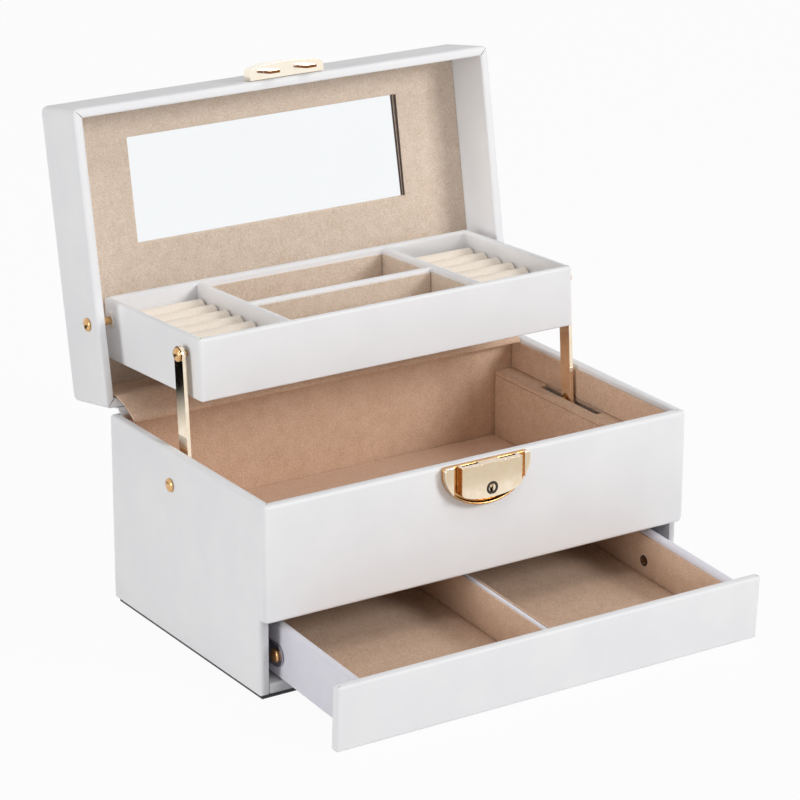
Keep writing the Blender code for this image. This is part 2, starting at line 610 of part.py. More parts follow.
def build_arms():
    """Each arm is one strip bent at its pivot: up to the tray, and down to a pin that drives the drawer."""
    for side in (-1, 1):
        pivot = make_pivot(side_name("arm_pivot", side), ARM_PIVOT, ARM_LEAN_OPEN)
        half = ARM_WIDTH / 2
        foot_half = ARM_LEG_WIDTH / 2
        lean = math.radians(LEG_LEAN)
        foot = (-LEG_REACH * math.sin(lean), -LEG_REACH * math.cos(lean))
        down = -90 - LEG_LEAN
        # Up the rear edge, round the top, down the front edge, then round the leg's foot
        outline = arc((0, ARM_REACH), half, 0, 180)
        outline += [(-half, -half * math.tan(lean / 2))]
        outline += arc(foot, foot_half, down - 90, down + 90)
        outline += [(half, half * math.tan(lean / 2) - half)]
        holes = [circle(0, 0, RIVET_SHANK_RADIUS + GAP), circle(0, ARM_REACH, RIVET_SHANK_RADIUS + GAP)]
        name = side_name("arm", side)
        strip = flat_plate(name, [outline] + holes, ARM_THICKNESS)
        strip_x = side * ARM_INNER if side > 0 else -ARM_OUTER
        place(strip, pivot, (strip_x, ARM_PIVOT.y, ARM_PIVOT.z), gold, FACING_SIDE)
        mesh = bpy.data.meshes.new(side_name("lever_pin", side))
        shape = bmesh.new()
        bmesh.ops.create_cone(shape, cap_ends=True, segments=TURN_STEPS, radius1=LEVER_PIN_RADIUS,
                              radius2=LEVER_PIN_RADIUS, depth=ARM_OUTER - OVERRUN - BAR_INNER)
        bmesh.ops.translate(shape, verts=shape.verts, vec=(0, 0, (ARM_OUTER - OVERRUN + BAR_INNER) / 2))
        shape.to_mesh(mesh)
        shape.free()
        pin = bpy.data.objects.new(side_name("lever_pin", side), mesh)
        place(pin, pivot, (0, ARM_PIVOT.y + foot[0], ARM_PIVOT.z + foot[1]), gold, turn_to_side(side))
        add_boolean(strip, pin, "UNION")
        make_turned(side_name("arm_rivet", side), [
            *dome_profile(ARM_OUTER + GAP, RIVET_HEAD_RADIUS, RIVET_HEAD_HEIGHT),
            (RIVET_SHANK_RADIUS, ARM_OUTER + GAP), (RIVET_SHANK_RADIUS, ARM_INNER - GAP),
            (RIVET_COLLAR_RADIUS, ARM_INNER - GAP), (RIVET_COLLAR_RADIUS, TRAY_HALF + GAP),
            (0, TRAY_HALF + GAP),
        ], gold, pivot, ARM_PIVOT + Vector((0, 0, ARM_REACH)), turn_to_side(side))
        make_turned(side_name("case_rivet", side), [
            *dome_profile(HALF + GAP, RIVET_HEAD_RADIUS, RIVET_HEAD_HEIGHT),
            (RIVET_SHANK_RADIUS, HALF + GAP), (RIVET_SHANK_RADIUS, SIDE_LINING_FACE - GAP),
            (RIVET_COLLAR_RADIUS, SIDE_LINING_FACE - GAP), (RIVET_COLLAR_RADIUS, ARM_OUTER + GAP),
            (RIVET_SHANK_RADIUS, ARM_OUTER + GAP), (RIVET_SHANK_RADIUS, ARM_INNER - GAP),
            (RIVET_COLLAR_RADIUS, ARM_INNER - GAP), (RIVET_COLLAR_RADIUS, ARM_INNER - GAP - RIVET_TAIL),
            (0, ARM_INNER - GAP - RIVET_TAIL),
        ], gold, None, ARM_PIVOT, turn_to_side(side))
        make_turned(side_name("lid_rivet", side), [
            *dome_profile(HALF + GAP, RIVET_HEAD_RADIUS, RIVET_HEAD_HEIGHT),
            (RIVET_SHANK_RADIUS, HALF + GAP), (RIVET_SHANK_RADIUS, WALL_INNER - GAP),
            (RIVET_COLLAR_RADIUS, WALL_INNER - GAP), (RIVET_COLLAR_RADIUS, TRAY_HALF + GAP),
            (RIVET_SHANK_RADIUS, TRAY_HALF + GAP), (RIVET_SHANK_RADIUS, TRAY_INNER - GAP),
            (RIVET_COLLAR_RADIUS, TRAY_INNER - GAP), (RIVET_COLLAR_RADIUS, TRAY_INNER - GAP - RIVET_TAIL),
            (0, TRAY_INNER - GAP - RIVET_TAIL),
        ], gold, lid, LID_RIVET, turn_to_side(side))


def build_drawer():
    """The drawer, and on each side the slotted bar that the arm's pin pushes."""
    front = make_board("drawer_front", (-HALF + DRAWER_FRONT_INSET, FRONT_Y, DRAWER_FRONT_BOTTOM),
                       (HALF - DRAWER_FRONT_INSET, FRONT_Y + BOARD, DRAWER_FRONT_BOTTOM + DRAWER_FRONT_HEIGHT),
                       drawer, leather)
    bevel_chosen_edges(front, CORNER_RADIUS, lambda a, b: a.z != b.z and a.y < 0)
    add_bevel(front, LEATHER_EDGE)
    floor_top = DRAWER_BOTTOM + DRAWER_FLOOR
    rear_front_y = DRAWER_BOX_REAR_Y - DRAWER_SIDE
    inner = DRAWER_INNER - GAP
    make_board("drawer_floor", (-inner, DRAWER_BOX_FRONT_Y, DRAWER_BOTTOM),
               (inner, DRAWER_BOX_REAR_Y, floor_top), drawer, drawer_paper)
    make_board("drawer_rear", (-inner, rear_front_y, floor_top + GAP),
               (inner, DRAWER_BOX_REAR_Y, DRAWER_SIDE_TOP), drawer, drawer_paper, TRAY_EDGE)
    divider_half = DRAWER_DIVIDER / 2
    make_board("drawer_divider", (-divider_half, DRAWER_BOX_FRONT_Y, floor_top + GAP),
               (divider_half, rear_front_y - GAP, DRAWER_SIDE_TOP - DRAWER_DIVIDER_DROP), drawer, drawer_paper,
               TRAY_EDGE)
    for side in (-1, 1):
        wall = make_board(side_name("drawer_side", side), *side_box(
            side, DRAWER_INNER, DRAWER_HALF_WIDTH, DRAWER_BOX_FRONT_Y, DRAWER_BOX_REAR_Y, DRAWER_BOTTOM,
            DRAWER_SIDE_TOP), drawer, drawer_paper, TRAY_EDGE)
        drill_across((wall,), side_name("drawer_hole", side), drawer, DRAWER_RIVET, RIVET_SHANK_RADIUS + GAP,
                     DRAWER_INNER - OVERRUN, DRAWER_HALF_WIDTH + OVERRUN, side)
        make_board(side_name("drawer_pad", side), *side_box(
            side, divider_half + GAP, inner - GAP, DRAWER_BOX_FRONT_Y + GAP, rear_front_y - GAP, floor_top + GAP,
            floor_top + GAP + DRAWER_PAD), drawer, suede)
        make_turned(side_name("drawer_rivet", side), [
            *dome_profile(BAR_OUTER + GAP, RIVET_HEAD_RADIUS, RIVET_HEAD_HEIGHT),
            (RIVET_SHANK_RADIUS, BAR_OUTER + GAP), (RIVET_SHANK_RADIUS, DRAWER_INNER - GAP),
            (RIVET_COLLAR_RADIUS, DRAWER_INNER - GAP), (RIVET_COLLAR_RADIUS, DRAWER_INNER - GAP - RIVET_TAIL),
            (0, DRAWER_INNER - GAP - RIVET_TAIL),
        ], brass, drawer, DRAWER_RIVET, turn_to_side(side))
        slot_half = LEVER_PIN_RADIUS + BAR_SLOT_PLAY
        slot_y = PIN_Y_CLOSED - DRAWER_RIVET.y
        slot_low = PIN_PLAY_Z_LOW - DRAWER_RIVET.z
        slot_high = PIN_PLAY_Z_HIGH - DRAWER_RIVET.z
        lug_half = slot_half + BAR_LUG_WALL
        outline = arc((0, 0), BAR_END_RADIUS, 90, 270)
        outline += [(slot_y + lug_half, -BAR_END_RADIUS)]
        outline += arc((slot_y, slot_high), lug_half, 0, 180)
        outline += [(slot_y - lug_half, BAR_END_RADIUS)]
        slot = arc((slot_y, slot_low), slot_half, 180, 360) + arc((slot_y, slot_high), slot_half, 0, 180)
        bar = flat_plate(side_name("drawer_bar", side),
                         [outline, slot, circle(0, 0, RIVET_SHANK_RADIUS + GAP)], BAR_THICKNESS)
        bar_x = BAR_INNER if side > 0 else -BAR_OUTER
        place(bar, runner, (bar_x, DRAWER_RIVET.y, DRAWER_RIVET.z), steel, FACING_SIDE)


def lower_ellipse(half_width, drop, top, low_share=1.0, steps=ARC_STEPS):
    """Points along the lower half of an ellipse, from its right end to its left."""
    limit = math.acos(low_share) if low_share < 1 else 0.0
    points = []
    for step in range(steps + 1):
        turn = -limit - (math.pi - 2 * limit) * step / steps
        points.append((half_width * math.cos(turn), top + drop * math.sin(turn)))
    return points


def build_lock():
    """The lock: half-moon plate with a raised lip, sliding face, key cylinder and the lid's latch with its hooks."""
    half = LOCK_WIDTH / 2
    drop = LOCK_HEIGHT - LOCK_SHOULDER
    plate = flat_plate("lock_plate", [
        [(-half, 0), (half, 0)] + lower_ellipse(half, drop, -LOCK_SHOULDER)], LOCK_PLATE)
    place(plate, None, (0, FRONT_Y - GAP, RIM_HEIGHT), gold, FACING_FRONT)
    outer = lower_ellipse(half, drop, -LOCK_SHOULDER, LIP_SPAN_SHARE)
    inner = lower_ellipse(half - LOCK_LIP_WIDTH, drop - LOCK_LIP_WIDTH, -LOCK_SHOULDER, LIP_SPAN_SHARE)
    lip = flat_plate("lock_lip", [outer + inner[::-1]], LOCK_LIP_RISE + LOCK_PLATE / 2)
    place(lip, None, (0, FRONT_Y - GAP - LOCK_PLATE / 2, RIM_HEIGHT), gold, FACING_FRONT)
    add_boolean(plate, lip, "UNION")

    slide_half = SLIDER_WIDTH / 2
    arc_drop = SLIDER_HEIGHT - SLIDER_SIDE_HEIGHT
    face_outline = [(-slide_half, 0), (slide_half, 0)]
    face_outline += lower_ellipse(slide_half, arc_drop, -SLIDER_SIDE_HEIGHT)
    face = flat_plate("lock_slider", [face_outline], SLIDER_THICKNESS)
    add_bevel(face, SLIDER_EDGE, 60.0)
    place(face, None, (0, SLIDER_BACK_Y, RIM_HEIGHT), gold, FACING_FRONT)
    key = Vector((0, SLIDER_BACK_Y, KEY_HEIGHT))
    bore = flat_plate("key_bore", [circle(0, 0, KEY_RADIUS + GAP)], SLIDER_THICKNESS + 2 * OVERRUN)
    place(bore, None, key + Vector((0, OVERRUN, 0)), steel, FACING_FRONT)
    add_boolean(face, bore, "DIFFERENCE")
    slot_half = HOOK_WIDTH / 2 + SLIDER_TRAVEL + HOOK_CLEARANCE
    hook_front = HOOK_BACK_Y - HOOK_THICKNESS
    for side in (-1, 1):
        slot = make_board(side_name("hook_slot", side),
                          (side * HOOK_X - slot_half, hook_front - HOOK_CLEARANCE, RIM_HEIGHT - HOOK_LENGTH - OVERRUN),
                          (side * HOOK_X + slot_half, SLIDER_BACK_Y + OVERRUN, RIM_HEIGHT + OVERRUN), None, steel)
        add_boolean(face, slot, "DIFFERENCE")

    cylinder = flat_plate("lock_cylinder", [circle(0, 0, KEY_RADIUS)], SLIDER_THICKNESS - KEY_RECESS - GAP)
    place(cylinder, None, key - Vector((0, GAP, 0)), brass, FACING_FRONT)
    keyway_front = SLIDER_FACE_Y
    keyway = make_board("keyway_cutter", (-KEYWAY_WIDTH / 2, keyway_front - OVERRUN, KEY_HEIGHT - KEYWAY_LENGTH / 2),
                        (KEYWAY_WIDTH / 2, keyway_front + KEYWAY_DEPTH, KEY_HEIGHT + KEYWAY_LENGTH / 2), None, steel)
    add_boolean(cylinder, keyway, "DIFFERENCE")

    # Latch: a bowed block cut to a half-moon, with two hooks below it
    latch_half = LATCH_WIDTH / 2
    bow = lower_ellipse(latch_half, LATCH_BULGE_DEPTH - LATCH_END_DEPTH, -LATCH_END_DEPTH)
    latch = flat_plate("latch_plate", [[(-latch_half, 0), (latch_half, 0)] + bow], LATCH_HEIGHT)
    latch_bottom = LID_RIM + GAP
    place(latch, lid, (0, FRONT_Y - GAP, latch_bottom), gold)
    crown = [(x, LATCH_SHOULDER - y) for x, y in lower_ellipse(
        latch_half + OVERRUN, LATCH_HEIGHT - LATCH_SHOULDER, 0)]
    moon = flat_plate("latch_outline", [
        [(-latch_half - OVERRUN, -OVERRUN), (latch_half + OVERRUN, -OVERRUN)] + crown],
        LATCH_BULGE_DEPTH + 2 * OVERRUN)
    place(moon, lid, (0, FRONT_Y - GAP + OVERRUN, latch_bottom), steel, FACING_FRONT)
    add_boolean(latch, moon, "INTERSECT")
    for side in (-1, 1):
        hook = make_board(side_name("hook", side),
                          (side * HOOK_X - HOOK_WIDTH / 2, hook_front, RIM_HEIGHT - HOOK_LENGTH),
                          (side * HOOK_X + HOOK_WIDTH / 2, HOOK_BACK_Y, latch_bottom + OVERRUN), lid, gold)
        add_boolean(latch, hook, "UNION")


clear_scene()
parts = make_collection("jewelry_box")
cutters = make_collection("cutters")
leather = make_material("white_leather", LEATHER_COLOUR, 0.45)
suede = make_material("beige_suede", SUEDE_COLOUR, 0.95)
roll_velvet = make_material("cream_velvet", ROLL_COLOUR, 0.95)
drawer_paper = make_material("lilac_white_wrap", DRAWER_SIDE_COLOUR, 0.55)
gold = make_material("champagne_gold", GOLD_COLOUR, 0.18, 1.0)
brass = make_material("dark_brass", BRASS_COLOUR, 0.30, 1.0)
steel = make_material("bare_steel", STEEL_COLOUR, 0.35, 1.0)
silvered = make_material("silvered_glass", MIRROR_COLOUR, 0.02, 1.0)
base_paint = make_material("black_base", BASE_COLOUR, 0.60)

lid = make_pivot("lid_hinge", HINGE, -LID_OPEN_ANGLE)
tray = make_pivot("tray_pivot", LID_RIVET, LID_OPEN_ANGLE - TRAY_TILT, parent=lid)
runner = make_pivot("drawer_slide", DRAWER_RIVET, shift=Vector((0, -DRAWER_TRAVEL, 0)))
drawer = make_pivot("drawer_droop", DRAWER_RIVET, DRAWER_DROOP, parent=runner)

build_case()
build_lid()
build_tray()
build_arms()
build_drawer()
build_lock()
bpy.context.view_layer.update()
print("pieces", len([item for item in parts.objects if item.type == "MESH"]))
print("arm pivot %.5f %.5f" % (ARM_PIVOT.y, ARM_PIVOT.z), "reach %.5f" % ARM_REACH)
print("arm lean open %.3f closed %.3f" % (ARM_LEAN_OPEN, ARM_LEAN_CLOSED), "leg reach %.5f" % LEG_REACH)
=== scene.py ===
# %% [markdown]
# A white jewelry box stands open: the lid leans back with its mirror, a tray hangs between the lid
# and two gold arms, and a drawer has slid out below the lock. This lesson dresses the plain solids of
# that box with leather, suede, velvet and gold, one piece at a time. The solids are the frame: every
# piece that follows is measured from them, so nothing has to be fitted by eye.

# %% Load the frame
import json
import math

import bmesh
import bpy
from mathutils import Matrix, Vector

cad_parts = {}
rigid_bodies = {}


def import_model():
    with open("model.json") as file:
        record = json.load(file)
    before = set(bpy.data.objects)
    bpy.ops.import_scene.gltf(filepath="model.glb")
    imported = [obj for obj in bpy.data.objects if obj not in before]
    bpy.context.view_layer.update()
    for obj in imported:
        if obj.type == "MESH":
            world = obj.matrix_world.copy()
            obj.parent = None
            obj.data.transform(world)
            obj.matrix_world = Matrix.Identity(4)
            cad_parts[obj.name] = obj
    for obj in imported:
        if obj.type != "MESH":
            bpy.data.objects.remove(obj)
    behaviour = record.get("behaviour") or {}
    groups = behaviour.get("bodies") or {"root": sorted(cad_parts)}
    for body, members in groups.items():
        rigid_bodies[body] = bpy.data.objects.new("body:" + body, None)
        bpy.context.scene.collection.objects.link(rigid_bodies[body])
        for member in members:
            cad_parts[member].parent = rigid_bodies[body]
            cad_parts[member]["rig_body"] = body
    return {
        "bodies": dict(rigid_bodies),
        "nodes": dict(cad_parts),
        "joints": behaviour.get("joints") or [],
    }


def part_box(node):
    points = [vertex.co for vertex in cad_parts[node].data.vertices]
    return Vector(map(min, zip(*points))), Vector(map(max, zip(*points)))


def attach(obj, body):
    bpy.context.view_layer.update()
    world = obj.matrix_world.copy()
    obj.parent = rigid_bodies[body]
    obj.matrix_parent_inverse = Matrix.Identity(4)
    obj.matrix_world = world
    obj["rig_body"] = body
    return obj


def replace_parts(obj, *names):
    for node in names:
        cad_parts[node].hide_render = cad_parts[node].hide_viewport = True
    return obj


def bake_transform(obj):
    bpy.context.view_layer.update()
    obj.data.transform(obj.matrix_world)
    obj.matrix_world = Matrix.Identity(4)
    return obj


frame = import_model()
nodes = frame["nodes"]
joints = {joint["name"]: joint for joint in frame["joints"]}
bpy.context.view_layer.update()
print("solids in the frame:", len(nodes))

# %% [markdown]
# The photograph is taken from far away with a long lens, from the left of the box and a little above
# it. A camera with the same place, turn and lens makes it possible to lay a render over the
# photograph. The width of the picture is 36 mm on the sensor, which is how Blender counts.

# %% Camera
CAMERA_PLACE = (-0.8791, -1.3554, 0.6904)
CAMERA_PITCH = 70.211
CAMERA_YAW = -32.993
CAMERA_ROLL = 0.183
CAMERA_LENS = 152.50


def stand(name, data):
    """A new object in the scene."""
    placed = bpy.data.objects.new(name, data)
    bpy.context.scene.collection.objects.link(placed)
    return placed


camera_data = bpy.data.cameras.new("camera")
camera_data.lens = CAMERA_LENS
camera_data.sensor_width = 36.0
camera = stand("camera", camera_data)
camera.matrix_world = (
    Matrix.Translation(CAMERA_PLACE)
    @ Matrix.Rotation(math.radians(CAMERA_YAW), 4, "Z")
    @ Matrix.Rotation(math.radians(CAMERA_PITCH), 4, "X")
    @ Matrix.Rotation(math.radians(CAMERA_ROLL), 4, "Z")
)
bpy.context.scene.camera = camera
print("camera stands", round(camera.location.length, 3), "m from the box")

# %% [markdown]
# Colours are written as the hex values that a screen shows. Blender computes with linear light, so one
# function turns the first into the second. A second small function adds a node with its settings and
# its links.

# %% Colours and nodes
MM = 0.001


def in_mm(lengths):
    return [round(length / MM, 1) for length in lengths]


def linear(hex_colour):
    """A hex colour as Blender's linear red, green, blue and alpha."""
    channels = []
    for start in (0, 2, 4):
        value = int(hex_colour[start:start + 2], 16) / 255
        channels.append(value / 12.92 if value <= 0.04045 else ((value + 0.055) / 1.055) ** 2.4)
    return (*channels, 1.0)


def add_node(tree, kind, settings=None, inputs=None):
    """One node: settings are its properties, inputs are values, or sockets or nodes to link from."""
    node = tree.nodes.new(kind)
    for key, value in (settings or {}).items():
        setattr(node, key, value)
    for key, value in (inputs or {}).items():
        if isinstance(value, bpy.types.Node):
            value = next(socket for socket in value.outputs if socket.enabled)
        if isinstance(value, bpy.types.NodeSocket):
            tree.links.new(value, node.inputs[key])
        else:
            node.inputs[key].default_value = value
    return node


def new_material(name, **sockets):
    """A material with constant values on its Principled shader."""
    made = bpy.data.materials.new(name)
    made.use_nodes = True
    shader = made.node_tree.nodes["Principled BSDF"]
    for key, value in sockets.items():
        shader.inputs[key.replace("_", " ")].default_value = value
    return made, made.node_tree, shader

# %% [markdown]
# Every finish of the box is alive in the same way: slow or fine noise shifts its colour, its shine and
# its relief a little. So one function makes them all. A pattern is given by the width of its lumps in
# millimetres, its detail and its roughness, or as one pattern that is weighted and laid on another.

# %% Finishes from patterns
SOFT = 0.55
MIDDLE = (0.3, 0.7)


def new_finish(name, patterns, tones, shine=None, relief=None, **sockets):
    """tones: (pattern, low, high, two colours), where the colour goes from the first to the second
    while the pattern goes from low to high. shine: (pattern, lowest and highest roughness).
    relief: (pattern, depth in mm, strength)."""
    made, tree, shader = new_material(name, **sockets)
    place = add_node(tree, "ShaderNodeTexCoord").outputs["Object"]
    grown = {}
    for key, (first, second, third) in patterns.items():
        if first in grown:
            grown[key] = add_node(tree, "ShaderNodeMath", {"operation": "MULTIPLY_ADD"}, {
                0: grown[first], 1: second, 2: grown[third]})
        else:
            grown[key] = add_node(tree, "ShaderNodeTexNoise", inputs={
                "Vector": place, "Scale": 1 / (first * MM), "Detail": second, "Roughness": third})
    key, low, high, *colours = tones
    share = add_node(tree, "ShaderNodeMapRange", inputs={
        "Value": grown[key], "From Min": low, "From Max": high})
    mixed = add_node(tree, "ShaderNodeMix", {"data_type": "RGBA"}, {
        "Factor": share, "A": linear(colours[0]), "B": linear(colours[1])})
    tree.links.new(mixed.outputs["Result"], shader.inputs["Base Color"])
    if shine:
        key, low, high = shine
        ranged = add_node(tree, "ShaderNodeMapRange", inputs={
            "Value": grown[key], "From Min": MIDDLE[0], "From Max": MIDDLE[1], "To Min": low, "To Max": high})
        tree.links.new(ranged.outputs["Result"], shader.inputs["Roughness"])
    if relief:
        key, depth_mm, strength = relief
        bump = add_node(tree, "ShaderNodeBump", inputs={
            "Height": grown[key], "Distance": depth_mm * MM, "Strength": strength})
        tree.links.new(bump.outputs["Normal"], shader.inputs["Normal"])
    return made

# %% [markdown]
# The outside is split polyurethane leather: a fabric that is coated with a smooth white film and pressed
# with a very fine pebble grain. The film gives a soft, even shine without clear reflections. The real
# grain is about 0.4 mm wide, too fine for this picture, so it is drawn at 0.9 mm and kept shallow, with
# slow waves under it where the leather lies on the board. The drawer's box is wrapped in smooth coated
# paper instead, a little cooler and bluer, with only the soft unevenness of glued paper.

# %% White leather and wrapping paper
leather = new_finish(
    "white_polyurethane_leather",
    {"grain": (0.9, 4.0, SOFT), "wave": (26.0, 2.0, SOFT), "both": ("wave", 2.2, "grain")},
    ("wave", *MIDDLE, "F3F3F4", "EFEFF1"), ("grain", 0.40, 0.50), ("both", 0.035, 0.5),
    IOR=1.47, Specular_IOR_Level=0.26, Coat_Weight=0.03, Coat_Roughness=0.3)
paper = new_finish(
    "coated_wrapping_paper", {"tint": (18.0, 2.0, SOFT), "glue": (5.0, 2.0, SOFT)},
    ("tint", *MIDDLE, "DEDCE5", "E5E3EA"), None, ("glue", 0.03, 0.4), IOR=1.46, Roughness=0.50)

# %% [markdown]
# The lining is beige microfibre suede: short fibres that are brushed upright. They scatter light back
# at the edges, which Sheen does, and lie in small patches that look lighter or darker. Fibres are
# 0.02 mm thick; the patches of nap that the eye does see are about 0.9 mm wide, in clouds of 6 mm. In
# the lid and in the tray the suede lies loose on card. In the case and the drawer it is glued flat on
# board and lies in shade: a deeper, warmer copy of it paints that shade, and a lighter copy paints light
# onto the compartment's pad, which lies deep in shade.
# The ring rolls have cream velvet, whose pile is longer, so its sheen is stronger and its colour warmer.

# %% Suede and velvet
def suede_cloth(name, shade, light):
    return new_finish(
        name, {"nap": (0.9, 5.0, 0.65), "cloud": (6.0, 3.0, 0.6), "patches": ("cloud", 0.3, "nap")},
        ("patches", 0.40, 0.90, shade, light), None, ("nap", 0.28, 0.9), Roughness=0.95,
        Specular_IOR_Level=0.12, Sheen_Weight=0.22, Sheen_Roughness=0.45, Sheen_Tint=linear("F2E2D2"))


suede = suede_cloth("beige_microfibre_suede", "CDB6A0", "F0E1D2")
# A deeper, warmer copy of the suede, which paints the shade and warm light between the walls of the case, the drawer
# and the inner hinge strip.
suede_deepened_as_painted_shade = suede_cloth("beige_suede_deepened_as_painted_shade", "C9A386", "EFD4BD")
# A lighter copy of the suede, which paints light onto the compartment's pad where it lies in shade.
suede_lightened_as_painted_light = suede_cloth("beige_suede_lightened_as_painted_light", "E4C0A5", "F9E0CC")
velvet = new_finish(
    "cream_velvet", {"pile": (1.0, 4.0, 0.6)}, ("pile", *MIDDLE, "F6E8D8", "FDF5EA"), None,
    ("pile", 0.09, 0.6), Roughness=0.97, Specular_IOR_Level=0.08, Sheen_Weight=0.35,
    Sheen_Roughness=0.55, Sheen_Tint=linear("FFF3E4"))

# %% [markdown]
# The fittings are zinc castings and steel strips, polished and then plated with pale champagne gold. A
# plated surface reflects almost like a mirror, with only a trace of unevenness from polishing. Metals
# keep Blender's default IOR, because their colour says how they reflect. The mirror is float glass with
# a silver coat behind it. Only its reflection can be seen, so it is a very smooth, nearly white metal.

# %% Plated metals and the mirror
def plated_metal(name, bright, dark, low, high, wave_mm=7.0, depth_mm=0.008):
    return new_finish(
        name, {"polish": (wave_mm, 2.0, SOFT)}, ("polish", *MIDDLE, bright, dark),
        ("polish", low, high), ("polish", depth_mm, 0.6), Metallic=1.0)


gold = plated_metal("champagne_gold_plating", "F6E9D4", "F0DDC2", 0.06, 0.11, depth_mm=0.0006)
# A paler copy of the champagne gold, which paints the stronger light on the latch.
gold_painted_paler_on_latch = plated_metal("champagne_gold_painted_paler_on_latch", "FAF1E2", "F4E8D4", 0.10, 0.16)
# A darker copy of the champagne gold, which paints the dark reflections round the rivets' domes.
gold_painted_darker_on_rivets = plated_metal("champagne_gold_painted_darker_on_rivets", "DDB684", "C99C66", 0.12, 0.20, 3.0)
# A darker, warmer metal: the drawer's rivets have it, and on the lock it paints the shade and warm reflections of the
# plate's grooves, its lip and the slider's flanks.
brass_with_painted_lock_shade = plated_metal("darker_brass_with_painted_lock_shade", "DDAE78", "C4935C", 0.22, 0.34, 2.5)
# A dark brown copy of the plating that paints the dark reflection on the latch's hooks.
hooks_painted_dark_as_reflection = plated_metal("hooks_with_painted_dark_reflection", "8A5A36", "6E4526", 0.15, 0.25, 2.5)
steel = plated_metal("zinc_plated_steel", "B4B0B8", "9A969F", 0.28, 0.38, 3.0)
mirror_glass = new_finish(
    "silvered_float_glass", {"film": (60.0, 1.0, SOFT)}, ("film", 0.0, 1.0, "F4F6F8", "F7F9FA"),
    ("film", 0.010, 0.016), Metallic=1.0)

# %% [markdown]
# Dark finishes follow: the black paint of the base board; a flat dark colour that paints the shade inside
# the mitre slits, the lock slider's slots and the right side of the lid's window; raw board coloured dark to
# paint the shade in the case's cavity and under the drawer shelf; and the blackened eyelets in the drawer,
# whose colour also paints the shade round the keyhole. The washers beside the tray are moulded nylon, which
# lets a little light in.

# %% Dark finishes and nylon
def dark_finish(name, first, second, roughness, grain_mm):
    return new_finish(
        name, {"grit": (grain_mm, 3.0, SOFT)}, ("grit", *MIDDLE, first, second), None,
        ("grit", 0.03, 0.5), Roughness=roughness, IOR=1.5)


base_paint = dark_finish("black_painted_board", "201F26", "2B2931", 0.6, 1.2)
# A flat dark colour that paints the shade inside the mitre slits, the lock slider's slots and the right side of the
# lid's window.
painted_shade_dark = dark_finish("painted_shade_inside_cuts_and_recesses", "4A3B38", "57463F", 0.9, 1.0)
# Raw board coloured dark, which paints the shade in the case's cavity behind the linings and under the drawer shelf.
raw_board_in_painted_shade = dark_finish("raw_grey_board_darkened_as_shade", "6A5F58", "786C63", 0.9, 1.0)
# Blackened metal of the drawer's eyelets; the same dark colour paints the shade in the ring round the keyhole.
blackened_eyelets_and_keyhole_shade = dark_finish("blackened_eyelet_and_keyhole_shade", "241A16", "34241D", 0.6, 1.0)
nylon = new_finish(
    "pale_nylon", {"mould": (2.0, 2.0, SOFT)}, ("mould", 0.0, 1.0, "E9E4DE", "F2EEE9"), None,
    ("mould", 0.01, 0.4), Roughness=0.35, IOR=1.53, Subsurface_Weight=0.2, Subsurface_Scale=1.5 * MM)
print("materials:", len(bpy.data.materials))

# %% [markdown]
# All pieces are drawn as they lie in the closed box, where every board is straight, and are then carried
# to the open box. The frame says how: each joint has its axis and its range, and a joint's longer limit
# is the closed box. A matrix for each moving body comes from these numbers.

# %% From the closed box to the open one
def turn_about(place, degrees):
    """A turn about the X direction through a place."""
    centre = Vector((0, place[1], place[2]))
    return (Matrix.Translation(centre) @ Matrix.Rotation(math.radians(degrees), 4, "X")
            @ Matrix.Translation(-centre))


def far_limit(name):
    """The limit of a joint at which the box is closed, in degrees or metres."""
    limits = joints[name].get("range_deg") or joints[name].get("range_m")
    return max(limits, key=abs)


LID_OPEN = far_limit("lid_hinge")
opened = {body: Matrix.Identity(4) for body in frame["bodies"]}
opened["lid"] = turn_about(joints["lid_hinge"]["pos_m"], -LID_OPEN)
opened["tray"] = opened["lid"] @ turn_about(
    opened["lid"].inverted() @ Vector(joints["tray_swing"]["pos_m"]), -far_limit("tray_swing"))
opened["drawer_runner"] = Matrix.Translation((0, -far_limit("drawer_slide"), 0))
opened["drawer"] = (turn_about(joints["drawer_droop"]["pos_m"], -far_limit("drawer_droop"))
                    @ opened["drawer_runner"])


def body_of(node):
    return nodes[node]["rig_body"]


def closed_box(*names):
    """Lowest and highest corner of one or more solids, as they lie in the closed box."""
    points = []
    for name in names:
        back = opened[body_of(name)].inverted()
        points += [back @ vert.co for vert in nodes[name].data.vertices]
    low = Vector([min(point[axis] for point in points) for axis in range(3)])
    high = Vector([max(point[axis] for point in points) for axis in range(3)])
    return low, high


case_low, case_high = closed_box("wall_left", "wall_right", "front_panel", "wall_rear")
print("case", in_mm(case_high - case_low), "mm; lid open by", LID_OPEN, "degrees")

# %% [markdown]
# Most pieces are boards, frames or trays: blocks with pockets and square cuts. One function builds any
# of them. It is given cutting planes along X, Y and Z and a rule that says which of the cells between
# them are filled, and it makes a face wherever a filled cell meets an empty one. A Bevel modifier then
# rounds each outer edge by its own radius, which is stored on the edge as a weight.

# %% Blocks with rounded edges
BEVEL_STEPS = 6


def to_mesh(shape, name):
    """The mesh of a finished bmesh."""
    mesh = bpy.data.meshes.new(name)
    shape.to_mesh(mesh)
    shape.free()
    return mesh


def round_edges(piece, radius, steps, sharp=None):
    """Rounds edges sharper than an angle, or else by the weights that are stored on them."""
    bevel = piece.modifiers.new("rounded", "BEVEL")
    bevel.width = radius
    bevel.segments = steps
    bevel.limit_method = "ANGLE" if sharp else "WEIGHT"
    if sharp:
        bevel.angle_limit = math.radians(sharp)


def keep_flat(piece):
    """Keeps large faces flat in the shading beside their rounded edges."""
    flat = piece.modifiers.new("flat_faces", "WEIGHTED_NORMAL")
    flat.keep_sharp = True


